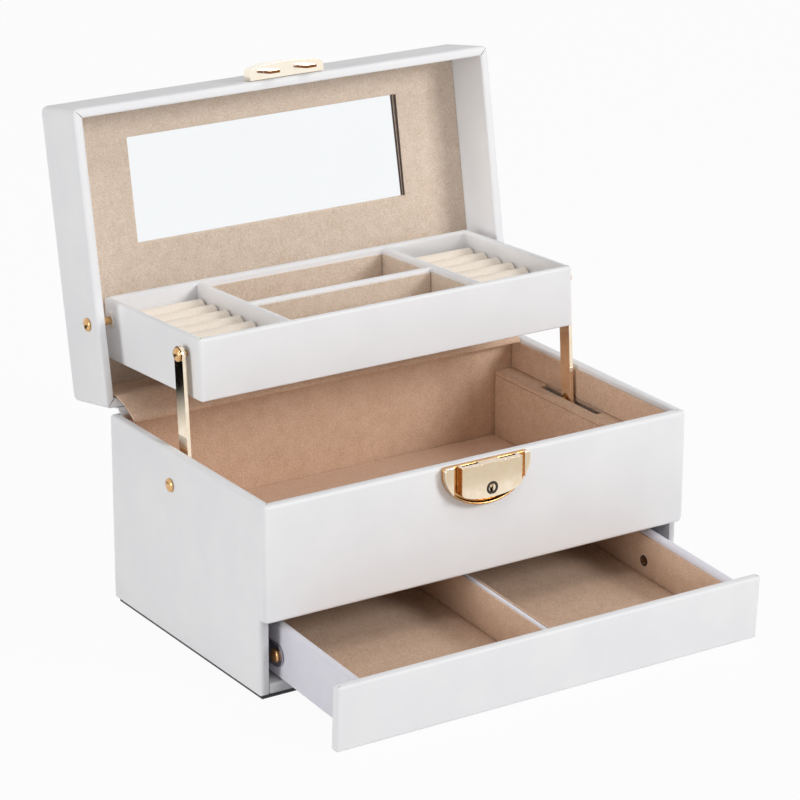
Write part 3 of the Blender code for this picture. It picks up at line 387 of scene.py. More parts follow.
def cell_block(name, cuts, filled, radius_of, finish_of=None):
    """A closed block of filled cells. radius_of(axis, middle) gives each outer edge's radius, and
    finish_of(middle) the number of each face's material."""
    shape = bmesh.new()
    corners = {}
    counts = [len(planes) - 1 for planes in cuts]

    def corner(index):
        if index not in corners:
            corners[index] = shape.verts.new([cuts[axis][index[axis]] for axis in range(3)])
        return corners[index]

    def full(cell):
        return all(0 <= cell[axis] < counts[axis] for axis in range(3)) and filled(*cell)

    for cell in [(i, j, k) for i in range(counts[0]) for j in range(counts[1]) for k in range(counts[2])]:
        if not full(cell):
            continue
        for axis in range(3):
            for step in (0, 1):
                beside = list(cell)
                beside[axis] += 2 * step - 1
                if full(tuple(beside)):
                    continue
                first, second = [other for other in range(3) if other != axis]
                loop = []
                for a, b in ((0, 0), (1, 0), (1, 1), (0, 1)):
                    index = list(cell)
                    index[axis] += step
                    index[first] += a
                    index[second] += b
                    loop.append(corner(tuple(index)))
                face = shape.faces.new(loop)
                face.material_index = finish_of(face.calc_center_median()) if finish_of else 0
    bmesh.ops.recalc_face_normals(shape, faces=shape.faces)
    bmesh.ops.dissolve_limit(shape, angle_limit=0.01, verts=shape.verts, edges=shape.edges,
                             delimit={"MATERIAL"})
    weights = shape.edges.layers.float.new("bevel_weight_edge")
    chosen = {}
    for edge in shape.edges:
        if edge.is_convex and edge.calc_face_angle(0) > 0.5:
            along = edge.verts[1].co - edge.verts[0].co
            axis = max(range(3), key=lambda k: abs(along[k]))
            chosen[edge] = radius_of(axis, (edge.verts[0].co + edge.verts[1].co) / 2)
    largest = max(chosen.values())
    for edge, radius in chosen.items():
        edge[weights] = radius / largest
    block = stand(name, to_mesh(shape, name))
    round_edges(block, largest, BEVEL_STEPS)
    keep_flat(block)
    return block


def plain_block(name, low, high, radius_of):
    """A block between two corners."""
    return cell_block(name, [(low[axis], high[axis]) for axis in range(3)], lambda i, j, k: True, radius_of)

# %% [markdown]
# A finished piece has no modifiers left and sits at the world's origin, with its place in its mesh. The
# next function bakes a piece down to that and carries it to the open box. Another gives it its material
# and tells the frame which body it rides on and which solids it stands for.

# %% Finishing a piece
def bake(piece, matrix=None):
    """Applies the modifiers and the place of a piece to its mesh."""
    bpy.context.view_layer.update()
    evaluated = piece.evaluated_get(bpy.context.evaluated_depsgraph_get())
    mesh = bpy.data.meshes.new_from_object(evaluated)
    mesh.name = piece.name
    mesh.transform((matrix or Matrix.Identity(4)) @ piece.matrix_world)
    old = piece.data
    piece.modifiers.clear()
    piece.data = mesh
    piece.matrix_world = Matrix.Identity(4)
    if old.users == 0:
        bpy.data.batch_remove([old])
    return piece


def cover(piece, material):
    """One smooth-shaded material all over a piece."""
    piece.data.materials.clear()
    piece.data.materials.append(material)
    for face in piece.data.polygons:
        face.use_smooth = True


def dress(piece, material, body, slot, *solids):
    """Material, body and the solids that the piece stands for; the finish (slot) is not used."""
    cover(piece, material)
    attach(piece, body)
    if solids:
        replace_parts(piece, *solids)
    return piece


def board(name, low, high, radius_of, material, slot, solid):
    """One straight board between two corners of the closed box."""
    body = body_of(solid)
    return dress(bake(plain_block(name, low, high, radius_of), opened[body]), material, body, slot, solid)

# %% [markdown]
# The case is wrapped in one skin of leather: both side walls, the rear wall and the upper front panel,
# which laps over the walls' front edges. Its corners are soft, with a radius of 2.6 mm at the upright
# edges and 1.9 mm round the rim. One block of cells keeps that skin unbroken, with no seam where the
# boards meet, and leaves the way for the drawer free. The leather is folded tightly round the panel's
# lower left corner and more loosely round the right one. Behind the linings, where the arms reach down
# to the drawer, nothing is wrapped, and the raw board there is coloured dark to paint the shade of that cavity.

# %% Leather skin of the case
UPRIGHT_RADIUS = 2.6 * MM
RIM_RADIUS = 1.9 * MM
RIM_INNER_RADIUS = 1.2 * MM
SMALL_RADIUS = 0.9 * MM
PANEL_CORNER_LEFT = 2.2 * MM
PANEL_CORNER_RIGHT = 4.0 * MM
OPENING_RADIUS = 0.45 * MM
EDGE_TOUCH = 0.4 * MM

panel_low = closed_box("front_panel")[0]
side_low, side_high = closed_box("wall_left")
rear_low = closed_box("wall_rear")[0]
cavity_low = closed_box("drawer_shelf")[1].z
cavity_high = closed_box("tray_ledge_left")[1].z
case_cuts = [
    (case_low.x, side_high.x, -side_high.x, case_high.x),
    (case_low.y, side_low.y, rear_low.y, case_high.y),
    (case_low.z, panel_low.z, cavity_low, cavity_high, case_high.z),
]


def near(value, target):
    return abs(value - target) < EDGE_TOUCH


def case_radius(axis, middle):
    outer_x = near(abs(middle.x), case_high.x)
    if axis == 2:
        return UPRIGHT_RADIUS if outer_x else OPENING_RADIUS
    if near(middle.z, case_high.z):
        return RIM_RADIUS if outer_x or near(abs(middle.y), case_high.y) else RIM_INNER_RADIUS
    if near(middle.z, panel_low.z):
        corner = PANEL_CORNER_LEFT if middle.x < 0 else PANEL_CORNER_RIGHT
        return corner if axis == 1 else RIM_RADIUS
    return SMALL_RADIUS


def case_finish(middle):
    """Raw board coloured dark to paint the shade in the cavity between the linings and the walls, leather elsewhere."""
    inside = near(abs(middle.x), -side_high.x) or near(middle.y, side_low.y) or near(middle.y, rear_low.y)
    return 1 if inside and cavity_low < middle.z < cavity_high else 0


case_skin = cell_block("case_skin", case_cuts, lambda i, j, k: (j > 0 or k > 0) and (i != 1 or j != 1),
                       case_radius, case_finish)
dress(bake(case_skin), leather, "case", "white_leather", "wall_left", "wall_right", "wall_rear", "front_panel")
# The second material is raw board coloured dark to paint the shade in the cavity behind the linings.
case_skin.data.materials.append(raw_board_in_painted_shade)
print("case skin:", len(case_skin.data.polygons), "faces")

# %% [markdown]
# The lid is wrapped the same way: a tray-shaped block that is turned over, with one deep pocket. The
# edge round its top is as soft as its corners, a little over 3 mm, because thin foam lies under the
# leather there. The tray has the same leather over thinner boards, and its rim is almost half round. Its
# four walls are one frame; the floor and the three dividers are boards of their own, and the dividers
# lie a little lower.

# %% Leather skins of the lid and the tray
LID_TOP_RADIUS = 3.2 * MM
LID_CORNER_RADIUS = 3.4 * MM
TRAY_RIM_RADIUS = 1.7 * MM
TRAY_CORNER_RADIUS = 2.4 * MM

lid_low = closed_box("lid_top", "lid_front", "lid_wall_left")[0]
wall_high = closed_box("lid_wall_left")[1]
lid_front_high = closed_box("lid_front")[1]
lid_rear_low = closed_box("lid_rear")[0]
top_low, top_high = closed_box("lid_top")
lid_cuts = [
    (lid_low.x, wall_high.x, -wall_high.x, top_high.x),
    (top_low.y, lid_front_high.y, lid_rear_low.y, top_high.y),
    (lid_low.z, top_low.z, top_high.z),
]


def lid_radius(axis, middle):
    if axis == 2:
        return LID_CORNER_RADIUS
    if near(middle.z, top_high.z):
        return LID_TOP_RADIUS
    outer = near(abs(middle.x), top_high.x) or near(abs(middle.y), top_high.y)
    return RIM_RADIUS if outer else RIM_INNER_RADIUS


lid_skin = cell_block("lid_skin", lid_cuts, lambda i, j, k: k == 1 or i != 1 or j != 1, lid_radius)
dress(bake(lid_skin, opened["lid"]), leather, "lid", "white_leather",
      "lid_top", "lid_front", "lid_rear", "lid_wall_left", "lid_wall_right")

tray_front_low, tray_front_high = closed_box("tray_front")
tray_rear_low, tray_rear_high = closed_box("tray_rear")
tray_inside = -closed_box("tray_side_left")[1].x
tray_cuts = [
    (tray_front_low.x, -tray_inside, tray_inside, tray_front_high.x),
    (tray_front_low.y, tray_front_high.y, tray_rear_low.y, tray_rear_high.y),
    (tray_front_low.z, tray_front_high.z),
]


def tray_radius(axis, middle):
    if axis == 2:
        return TRAY_CORNER_RADIUS
    return TRAY_RIM_RADIUS if near(middle.z, tray_front_high.z) else SMALL_RADIUS


tray_skin = cell_block("tray_skin", tray_cuts, lambda i, j, k: i != 1 or j != 1, tray_radius)
dress(bake(tray_skin, opened["tray"]), leather, "tray", "white_leather",
      "tray_front", "tray_rear", "tray_side_left", "tray_side_right")

# %% Floor and dividers of the tray
DIVIDER_RADIUS = 1.75 * MM
DIVIDER_TUCK = 1.0 * MM

tray_floor_low, tray_floor_high = closed_box("tray_floor")
board("tray_floor_board", tray_floor_low, tray_floor_high, lambda axis, middle: 0.5 * MM, leather,
      "white_leather", "tray_floor")
for divider in ("tray_divider_left", "tray_divider_right", "tray_divider_middle"):
    low, high = closed_box(divider)
    along = 0 if high.x - low.x > high.y - low.y else 1
    low[along] -= DIVIDER_TUCK
    high[along] += DIVIDER_TUCK
    board(divider + "_skin", low, high,
          lambda axis, middle: DIVIDER_RADIUS if near(middle.z, high.z) and axis == along else 0.3 * MM,
          leather, "white_leather", divider)

# %% [markdown]
# Inside, the compartments are lined with suede glued on thin card. A lining is a pocket: a floor and four
# thin walls, open at the top, whose upper edge ends a little below the rim so that the white leather
# shows above it. The card's corners aren't joined, which leaves a fine dark seam in each corner.

# %% Linings of the tray
LINING_THICKNESS = 0.8 * MM
LINING_DROP = 2.2 * MM
LINING_RADIUS = 0.35 * MM
LINING_GAP = 0.1 * MM
FLOOR_PAD = 1.0 * MM
CORNER_SEAM = 0.35 * MM


def lining(name, low, high, body, cloth, solid):
    """Four lining cards and a floor pad inside a pocket, as one suede piece."""
    top = high.z - LINING_DROP
    inner_low = low + Vector((LINING_THICKNESS, LINING_THICKNESS, 0))
    inner_high = high - Vector((LINING_THICKNESS, LINING_THICKNESS, 0))
    left, right = inner_low.x + CORNER_SEAM, inner_high.x - CORNER_SEAM
    cards = [
        ((low.x, low.y, low.z), (inner_low.x, high.y, top)),
        ((inner_high.x, low.y, low.z), (high.x, high.y, top)),
        ((left, inner_high.y, low.z), (right, high.y, top)),
        ((left, inner_low.y + CORNER_SEAM, low.z), (right, inner_high.y - CORNER_SEAM, low.z + FLOOR_PAD)),
        ((left, low.y, low.z), (right, inner_low.y, top)),
    ]
    joined = bmesh.new()
    for card_low, card_high in cards:
        block = plain_block(name, card_low, card_high, lambda axis, middle: LINING_RADIUS)
        bake(block, opened[body])
        joined.from_mesh(block.data)
        bpy.data.objects.remove(block)
    return dress(stand(name, to_mesh(joined, name)), cloth, body, "beige_suede", solid)


divider_high = closed_box("tray_divider_left")[1]
middle_low, middle_high = closed_box("tray_divider_middle")
for place, front_y, rear_y in (
        ("front", tray_front_high.y, middle_low.y), ("rear", middle_high.y, tray_rear_low.y)):
    lining("tray_lining_" + place,
           Vector((divider_high.x + LINING_GAP, front_y + LINING_GAP, tray_floor_high.z + LINING_GAP)),
           Vector((-divider_high.x - LINING_GAP, rear_y - LINING_GAP, middle_high.z)),
           "tray", suede, "tray_pad_" + place)

# %% [markdown]
# The ring rolls are soft sausages of foam in velvet, side by side at a pitch of 13 mm, and rings are
# pushed into the slits between them. They repeat and each follows one rule, so Geometry Nodes make them:
# a line is swept with a round section whose radius shrinks at both ends, and copies stand on a row of
# points. The row starts at the rear, and its last roll is pressed narrow against the front wall.

# %% Geometry Nodes trees
def new_geometry_tree(name, inputs):
    """A tree with named inputs; returns the tree, its input sockets and their identifiers."""
    tree = bpy.data.node_groups.new(name, "GeometryNodeTree")
    for direction in ("INPUT", "OUTPUT"):
        tree.interface.new_socket("Geometry", in_out=direction, socket_type="NodeSocketGeometry")
    identifiers = {
        label: tree.interface.new_socket(label, in_out="INPUT", socket_type="NodeSocket" + kind).identifier
        for label, kind in inputs.items()}
    return tree, tree.nodes.new("NodeGroupInput").outputs, identifiers


def finish_tree(tree, geometry, finish, *steps):
    """The end of a tree: instances made real, steps of its own, the material and the output."""
    for kind, inputs in (("GeometryNodeRealizeInstances", {}), *steps,
                         ("GeometryNodeSetMaterial", {"Material": finish}), ("NodeGroupOutput", {})):
        geometry = add_node(tree, kind, inputs={"Geometry": geometry, **inputs})


def grow(name, tree, identifiers, values, source=None):
    """A new object that a tree gives its shape."""
    piece = stand(name, source or bpy.data.meshes.new(name))
    modifier = piece.modifiers.new("grown", "NODES")
    modifier.node_group = tree
    for label, value in values.items():
        modifier[identifiers[label]] = value
    return piece

# %% Tree of the ring rolls
END_ROUNDING = 0.16
ROLL_POINTS = 129
ROLL_CORNERS = 40

rolls_tree, given, roll_inputs = new_geometry_tree("ring_rolls", {
    "Length": "Float", "Pitch": "Float", "Height": "Float", "Rolls": "Int", "Last Share": "Float",
    "Finish": "Material"})
numbers = {label: given[label] for label in ("Length", "Pitch", "Height", "Rolls", "Last Share")}
position = add_node(rolls_tree, "GeometryNodeInputPosition")
numbers["along"] = add_node(rolls_tree, "ShaderNodeSeparateXYZ", inputs={"Vector": position})
numbers["index"] = add_node(rolls_tree, "GeometryNodeInputIndex")
for result, operation, *values in (
        ("half", "MULTIPLY", "Length", 0.5),
        ("left end", "MULTIPLY", "half", -1.0),
        # The distance from the nearer end, as a share of the end's rounding, then a quarter circle
        ("off middle", "ABSOLUTE", "along"),
        ("from end", "SUBTRACT", "half", "off middle"),
        ("rounding", "MULTIPLY", "Pitch", END_ROUNDING),
        ("share", "DIVIDE", "from end", "rounding"),
        ("share", "MINIMUM", "share", 1.0),
        ("share", "MAXIMUM", "share", 0.0),
        ("share", "SUBTRACT", 1.0, "share"),
        ("square", "POWER", "share", 2.0),
        ("rest", "SUBTRACT", 1.0, "square"),
        ("rest", "MAXIMUM", "rest", 0.0001),
        ("thickness", "SQRT", "rest"),
        ("radius", "MULTIPLY", "Pitch", 0.5),
        # Only the last roll is narrow, and it closes up to the one before it
        ("last index", "SUBTRACT", "Rolls", 1.0),
        ("is last", "COMPARE", "index", "last index", 0.1),
        ("lack", "SUBTRACT", 1.0, "Last Share"),
        ("lack", "MULTIPLY", "is last", "lack"),
        ("narrow", "SUBTRACT", 1.0, "lack"),
        ("shift", "SUBTRACT", "narrow", 1.0),
        ("shift", "MULTIPLY", "shift", "radius"),
        ("tall", "DIVIDE", "Height", "Pitch")):
    numbers[result] = add_node(rolls_tree, "ShaderNodeMath", {"operation": operation}, {
        place: numbers[value] if isinstance(value, str) else value for place, value in enumerate(values)})
vectors = {key: add_node(rolls_tree, "ShaderNodeCombineXYZ", inputs=parts) for key, parts in {
    "start": {"X": numbers["left end"]}, "end": {"X": numbers["half"]}, "step": {"Y": given["Pitch"]},
    "shift": {"Y": numbers["shift"]}, "size": {"X": 1.0, "Y": numbers["narrow"], "Z": numbers["tall"]},
}.items()}
line = add_node(rolls_tree, "GeometryNodeCurvePrimitiveLine", inputs={
    "Start": vectors["start"], "End": vectors["end"]})
line = add_node(rolls_tree, "GeometryNodeResampleCurve", inputs={"Curve": line, "Count": ROLL_POINTS})
section = add_node(rolls_tree, "GeometryNodeCurvePrimitiveCircle", inputs={
    "Resolution": ROLL_CORNERS, "Radius": numbers["radius"]})
swept = add_node(rolls_tree, "GeometryNodeCurveToMesh", inputs={
    "Curve": line, "Profile Curve": section, "Scale": numbers["thickness"], "Fill Caps": True})
row = add_node(rolls_tree, "GeometryNodeMeshLine", inputs={"Count": given["Rolls"], "Offset": vectors["step"]})
row = add_node(rolls_tree, "GeometryNodeSetPosition", inputs={"Geometry": row, "Offset": vectors["shift"]})
copies = add_node(rolls_tree, "GeometryNodeInstanceOnPoints", inputs={
    "Points": row, "Instance": swept, "Scale": vectors["size"]})
finish_tree(rolls_tree, copies, given["Finish"],
            ("GeometryNodeMergeByDistance", {"Distance": 0.05 * MM}), ("GeometryNodeSetShadeSmooth", {}))

# %% Ring rolls
ROLL_PITCH = 13.0 * MM
ROLL_COUNT = 7
ROLL_PLAY = 0.1 * MM

for side_name in ("left", "right"):
    node = "ring_rolls_" + side_name
    low, high = closed_box(node)
    wall = closed_box("tray_side_" + side_name)
    divider = closed_box("tray_divider_" + side_name)
    inner = (wall[1].x, divider[0].x) if side_name == "left" else (divider[1].x, wall[0].x)
    low.x, high.x = inner[0] + ROLL_PLAY, inner[1] - ROLL_PLAY
    rolls = grow(node + "_velvet", rolls_tree, roll_inputs, {
        "Length": high.x - low.x, "Pitch": ROLL_PITCH, "Height": high.z - low.z, "Rolls": ROLL_COUNT,
        "Last Share": (high.y - low.y) / ROLL_PITCH - (ROLL_COUNT - 1), "Finish": velvet})
    rolls.location = ((low.x + high.x) / 2, high.y - ROLL_PITCH / 2, (low.z + high.z) / 2)
    rolls.rotation_euler.z = math.pi
    dress(bake(rolls, opened["tray"]), velvet, "tray", "cream_velvet", node)
    print(node, len(rolls.data.vertices), "points")

# %% [markdown]
# Many solids already have the right shape and only lack softened edges: arms, bars, lock parts, lining
# boards and the mirror. A copy of such a solid is welded, its flat faces are joined up again, and a small
# bevel is put on its sharp edges, so that they catch the light as real edges do. The mirror leans back
# by almost a degree on its pad of glue, and the right side of the lid's window is painted dark as the
# shade in its recess.

# %% Solids with eased edges
BOARD_EDGE = 0.5 * MM
RAW_EDGE = 0.4 * MM
BOARD_ANGLE = 35.0
MIRROR_LEAN = -0.8
WINDOW_MARGIN = 5.0 * MM


def ease(mesh, radius, steps=3, sharp=BOARD_ANGLE):
    """An object with a small bevel on the sharp edges of a mesh."""
    piece = stand(mesh.name, mesh)
    for face in mesh.polygons:
        face.use_smooth = True
    round_edges(piece, radius, steps, sharp)
    keep_flat(piece)
    return bake(piece)


def eased(node, radius, material, slot, sharp=BOARD_ANGLE):
    """A copy of a solid with its sharp edges rounded."""
    shape = bmesh.new()
    shape.from_mesh(nodes[node].data)
    bmesh.ops.remove_doubles(shape, verts=shape.verts, dist=0.000002)
    bmesh.ops.dissolve_limit(shape, angle_limit=math.radians(0.5), verts=shape.verts, edges=shape.edges)
    piece = ease(to_mesh(shape, node + "_eased"), radius, sharp=sharp)
    return dress(piece, material, body_of(node), slot, node)


for side_name in ("left", "right"):
    eased("arm_" + side_name, 0.45 * MM, gold, "champagne_gold")
    eased("drawer_bar_" + side_name, 0.25 * MM, steel, "bare_steel")
    for lined in ("lining_side_", "inner_panel_", "tray_ledge_"):
        eased(lined + side_name, BOARD_EDGE, suede_deepened_as_painted_shade, "beige_suede")
eased("lining_rear", BOARD_EDGE, suede_deepened_as_painted_shade, "beige_suede")
eased("lining_front", BOARD_EDGE, suede_deepened_as_painted_shade, "beige_suede")
eased("compartment_pad", BOARD_EDGE, suede_lightened_as_painted_light, "beige_suede")
lid_board = eased("lid_lining", BOARD_EDGE, suede, "beige_suede")
# The right side of the window's recess is painted dark as its shade.
lid_board.data.materials.append(painted_shade_dark)
for face in lid_board.data.polygons:
    if face.normal.x < -0.9 and face.center.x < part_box("lid_lining")[1].x - WINDOW_MARGIN:
        face.material_index = 1
glass = eased("mirror", 0.3 * MM, mirror_glass, "mirror_glass")
glass_middle = sum(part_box("mirror"), Vector()) / 2
glass.data.transform(Matrix.Translation(glass_middle) @ Matrix.Rotation(math.radians(MIRROR_LEAN), 4, "X")
                     @ Matrix.Translation(-glass_middle))
# The drawer shelf gets the dark raw board, which paints the shade under it.
eased("drawer_shelf", RAW_EDGE, raw_board_in_painted_shade, "white_leather")
eased("case_floor", RAW_EDGE, leather, "white_leather")
eased("base_board", RAW_EDGE, base_paint, "black_base")

# %% [markdown]
# The drawer's front is a leather board, padded like the case. Its box is four paper-wrapped boards with
# rounded tops and a divider, each half lined with suede.

# %% Drawer
DRAWER_FRONT_RADIUS = 1.3 * MM
DRAWER_SOFT_RADIUS = 1.9 * MM
HALF_ROUND_SHARE = 0.42
PAPER_EDGE = 0.4 * MM

drawer_low, drawer_high = closed_box("drawer_front")
board("drawer_front_skin", drawer_low, drawer_high,
      lambda axis, middle: DRAWER_SOFT_RADIUS if axis == 2 and near(middle.y, drawer_low.y)
      else DRAWER_FRONT_RADIUS,
      leather, "white_leather", "drawer_front")
for wall in ("drawer_side_left", "drawer_side_right", "drawer_rear", "drawer_divider"):
    low, high = closed_box(wall)
    radius = min(DRAWER_SOFT_RADIUS, (high.x - low.x) * HALF_ROUND_SHARE)
    board(wall + "_wrap", low, high,
          lambda axis, middle: radius if near(middle.z, high.z) and axis != 2 else PAPER_EDGE,
          paper, "drawer_wrap", wall)
low, high = closed_box("drawer_floor")
board("drawer_floor_wrap", low, high, lambda axis, middle: PAPER_EDGE, paper, "drawer_wrap", "drawer_floor")
lining_bottom = high.z + LINING_GAP
wall_high = closed_box("drawer_side_left")[1]
divider_low, divider_high = closed_box("drawer_divider")
drawer_rear_low = closed_box("drawer_rear")[0]
for side, side_name in ((-1, "left"), (1, "right")):
    xs = sorted((side * (divider_high.x + LINING_GAP), side * (-wall_high.x - LINING_GAP)))
    lining("drawer_lining_" + side_name, Vector((xs[0], divider_low.y + LINING_GAP, lining_bottom)),
           Vector((xs[1], drawer_rear_low.y - LINING_GAP, wall_high.z)),
           "drawer", suede_deepened_as_painted_shade, "drawer_pad_" + side_name)

# %% [markdown]
# Small round parts are turned on a lathe: the rivets of the arms, the case, the lid and the drawer, the
# washers beside the tray and the eyelets in the drawer. A dark ring round the keyhole, which paints the
# shade of the gap round the key cylinder, is made the same way. Each repeats the same rule with another
# section, so one Geometry Nodes tree turns them all: the section is swept round a tiny circle, and the
# result is laid over onto its axis.

# %% Turned parts with Geometry Nodes
TURNS = 48
QUARTER = math.pi / 2
AXIS_TILT = {"left": (0.0, -QUARTER), "right": (0.0, QUARTER), "front": (-QUARTER, 0.0)}
SHARP_CORNER = math.radians(40)

turned_tree, given, turned_inputs = new_geometry_tree("turned_part", {
    "Tilt X": "Float", "Tilt Y": "Float", "Turns": "Int", "Finish": "Material"})
section = add_node(turned_tree, "GeometryNodeMeshToCurve", inputs={"Mesh": given["Geometry"]})
ring = add_node(turned_tree, "GeometryNodeCurvePrimitiveCircle", inputs={
    "Resolution": given["Turns"], "Radius": 0.01 * MM})
turned = add_node(turned_tree, "GeometryNodeCurveToMesh", inputs={"Curve": ring, "Profile Curve": section})
closed_poles = add_node(turned_tree, "GeometryNodeMergeByDistance", inputs={
    "Geometry": turned, "Distance": 0.03 * MM})
tilt = add_node(turned_tree, "ShaderNodeCombineXYZ", inputs={"X": given["Tilt X"], "Y": given["Tilt Y"]})
laid_over = add_node(turned_tree, "GeometryNodeInstanceOnPoints", inputs={
    "Points": add_node(turned_tree, "GeometryNodePoints", inputs={"Count": 1}),
    "Instance": closed_poles, "Rotation": tilt})
finish_tree(turned_tree, laid_over, given["Finish"])


def turned_part(name, outline, place, axis, material, body, slot, *solids, ring=False):
    """Turns an outline of (radius, reach) points; a ring's outline runs round on itself."""
    count = len(outline)
    mesh = bpy.data.meshes.new(name)
    mesh.from_pydata([(radius, reach, 0) for radius, reach in outline],
                     [(step, (step + 1) % count) for step in range(count if ring else count - 1)], [])
    tilt_x, tilt_y = AXIS_TILT[axis]
    piece = grow(name, turned_tree, turned_inputs, {
        "Tilt X": tilt_x, "Tilt Y": tilt_y, "Turns": TURNS, "Finish": material}, mesh)
    piece.location = place
    bake(piece)
    shape = bmesh.new()
    shape.from_mesh(piece.data)
    bmesh.ops.recalc_face_normals(shape, faces=shape.faces)
    for edge in shape.edges:
        edge.smooth = edge.calc_face_angle(0) < SHARP_CORNER
    shape.to_mesh(piece.data)
    shape.free()
    return dress(piece, material, body, slot, *solids)

# %% [markdown]
# A rivet's section goes from the crown of its low dome to the far end of its shank. Each kind ends
# where the real one does: inside the arm, under the tray's leather, or in the eyelet of the drawer.

# %% Rivets, washers and eyelets
HEAD_RADIUS = 3.5 * MM
HEAD_HEIGHT = 1.6 * MM
HEAD_RIM = 0.45 * MM
SHANK_RADIUS = 2.1 * MM
TAIL_HEIGHT = 0.8 * MM
WASHER_RADIUS = 4.3 * MM
WASHER_HEIGHT = 0.9 * MM
WASHER_PLAY = 0.1 * MM
EYELET_RADIUS = 3.2 * MM
EYELET_HEIGHT = 1.2 * MM
EYELET_HOLE = 1.7 * MM
EYELET_TAPER = 0.3 * MM
ARM_PIN_SHARE = 0.7
TAIL_SHARE = 0.8
TAIL_SHORT = 0.2 * MM
PIN_UNDER_LEATHER = 0.5 * MM
DOME_STEPS = 8


def rivet_outline(crown, shank):
    """A dome, then the (radius, reach) steps of the shank towards the middle of the box."""
    start = crown - HEAD_HEIGHT
    rise = crown - start - HEAD_RIM
    outline = []
    for step in range(DOME_STEPS + 1):
        turn = QUARTER * step / DOME_STEPS
        outline.append((HEAD_RADIUS * math.sin(turn), start + HEAD_RIM + rise * math.cos(turn)))
    outline.append((HEAD_RADIUS, start))
    for radius, end in shank:
        outline += [(radius, start), (radius, end)]
        start = end
    return outline + [(0.0, start)]


hole, near_end, far_end = (SHANK_RADIUS + WASHER_PLAY, WASHER_PLAY - tray_front_low.x,
                           WASHER_HEIGHT - tray_front_low.x)
washer = [(hole, near_end), (WASHER_RADIUS, near_end), (WASHER_RADIUS, far_end), (hole, far_end)]
for side_name in ("left", "right"):
    arm_low, arm_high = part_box("arm_" + side_name)
    inside_arm = (abs(arm_low.x) + abs(arm_high.x)) / 2
    # The gold rivets take the darker copy of the plating, which paints the dark reflections on their domes.
    for kind, body, metal, slot, shank in (
            ("arm", "arm_" + side_name, gold_painted_darker_on_rivets, "champagne_gold", lambda end: [
                (SHANK_RADIUS * ARM_PIN_SHARE, end)]),
            ("case", "case", gold_painted_darker_on_rivets, "champagne_gold", lambda end: [(SHANK_RADIUS, inside_arm)]),
            ("lid", "lid", gold_painted_darker_on_rivets, "champagne_gold", lambda end: [
                (SHANK_RADIUS, tray_inside + PIN_UNDER_LEATHER)]),
            ("drawer", "drawer", brass_with_painted_lock_shade, "dark_brass", lambda end: [
                (SHANK_RADIUS, end + TAIL_HEIGHT), (SHANK_RADIUS * TAIL_SHARE, end + TAIL_SHORT)])):
        solid = kind + "_rivet_" + side_name
        low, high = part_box(solid)
        end, crown = sorted((abs(low.x), abs(high.x)))
        place = Vector((0, (low.y + high.y) / 2, (low.z + high.z) / 2))
        turned_part(f"{kind}_rivet_turned_{side_name}", rivet_outline(crown, shank(end)), place,
                    side_name, metal, body, slot, solid)
        if kind == "lid":
            turned_part("tray_washer_" + side_name, washer, place, side_name, nylon, body, "white_leather",
                        ring=True)
    eyelet = [(EYELET_HOLE, end + EYELET_HEIGHT), (EYELET_RADIUS, end + EYELET_HEIGHT),
              (EYELET_RADIUS - EYELET_TAPER, end), (EYELET_HOLE + 0.2 * MM, end)]
    turned_part("drawer_eyelet_" + side_name, eyelet, place, side_name, blackened_eyelets_and_keyhole_shade, "drawer",
                "dark_brass", ring=True)

# %% [markdown]
# The lock is a casting of four parts: a half-moon plate with a raised lip, a slider with two slots, the
# key cylinder, and on the lid the latch with its two hooks. Slider, cylinder and latch have their final
# shape in the solids and only need eased edges. The plate is a little smaller and rounder than its solid,
# with raised ears and a groove between them and the slider, and its lip is swept as a bead that thins out
# towards both shoulders, as a cast lip does. The plate, its lip and the slider's flanks get a darker, warmer
# metal, which paints the shade and warm reflections of the grooves and gaps, and the slots are painted dark
# as their shade. The latch is drawn paler to paint the strong light on it, and its hooks are painted dark as
# the dark room they reflect.

# %% Lock plate and lip
PLATE_SHOULDER = 3.5 * MM
PLATE_CORNER = 1.8 * MM
PLATE_THICKNESS = 2.5 * MM
PLATE_EDGE = 0.7 * MM
PLATE_TRIM = 1.3 * MM
PLATE_DROP_TRIM = 0.5 * MM
PLATE_SINK = 0.5 * MM
CAST_ANGLE = 50.0
LIP_WIDTH = 2.0 * MM
LIP_SPAN_SHARE = 0.94
LIP_SWELL = 0.45
LIP_ROUNDNESS = 0.6
LIP_CORNERS = 16
EAR_GAPS = {"left": 2.1 * MM, "right": 4.0 * MM}
EAR_RISE = 1.7 * MM
EAR_EDGE = 0.4 * MM
CURVE_STEPS = 40
SHOULDER_STEPS = 6

plate_low, plate_high = closed_box("lock_plate")
plate_half = plate_high.x - PLATE_TRIM
plate_drop = plate_high.z - plate_low.z - PLATE_SHOULDER - PLATE_DROP_TRIM
shoulder_z = plate_high.z - PLATE_SHOULDER
plate_face_y = plate_high.y - PLATE_THICKNESS


def half_moon(turn):
    """A point of the plate's lower edge; turn runs from 0 at the right to pi at the left."""
    return Vector((plate_half * math.cos(turn), 0, shoulder_z - plate_drop * math.sin(turn)))


def slab(name, outline, back_y, front_y):
    """A flat plate with an outline in the plane of the front."""
    shape = bmesh.new()
    face = shape.faces.new([shape.verts.new((x, back_y, z)) for x, z in outline])
    moved = bmesh.ops.extrude_face_region(shape, geom=[face])["geom"]
    bmesh.ops.translate(shape, verts=[part for part in moved if isinstance(part, bmesh.types.BMVert)],
                        vec=(0, front_y - back_y, 0))
    bmesh.ops.recalc_face_normals(shape, faces=shape.faces)
    return to_mesh(shape, name)


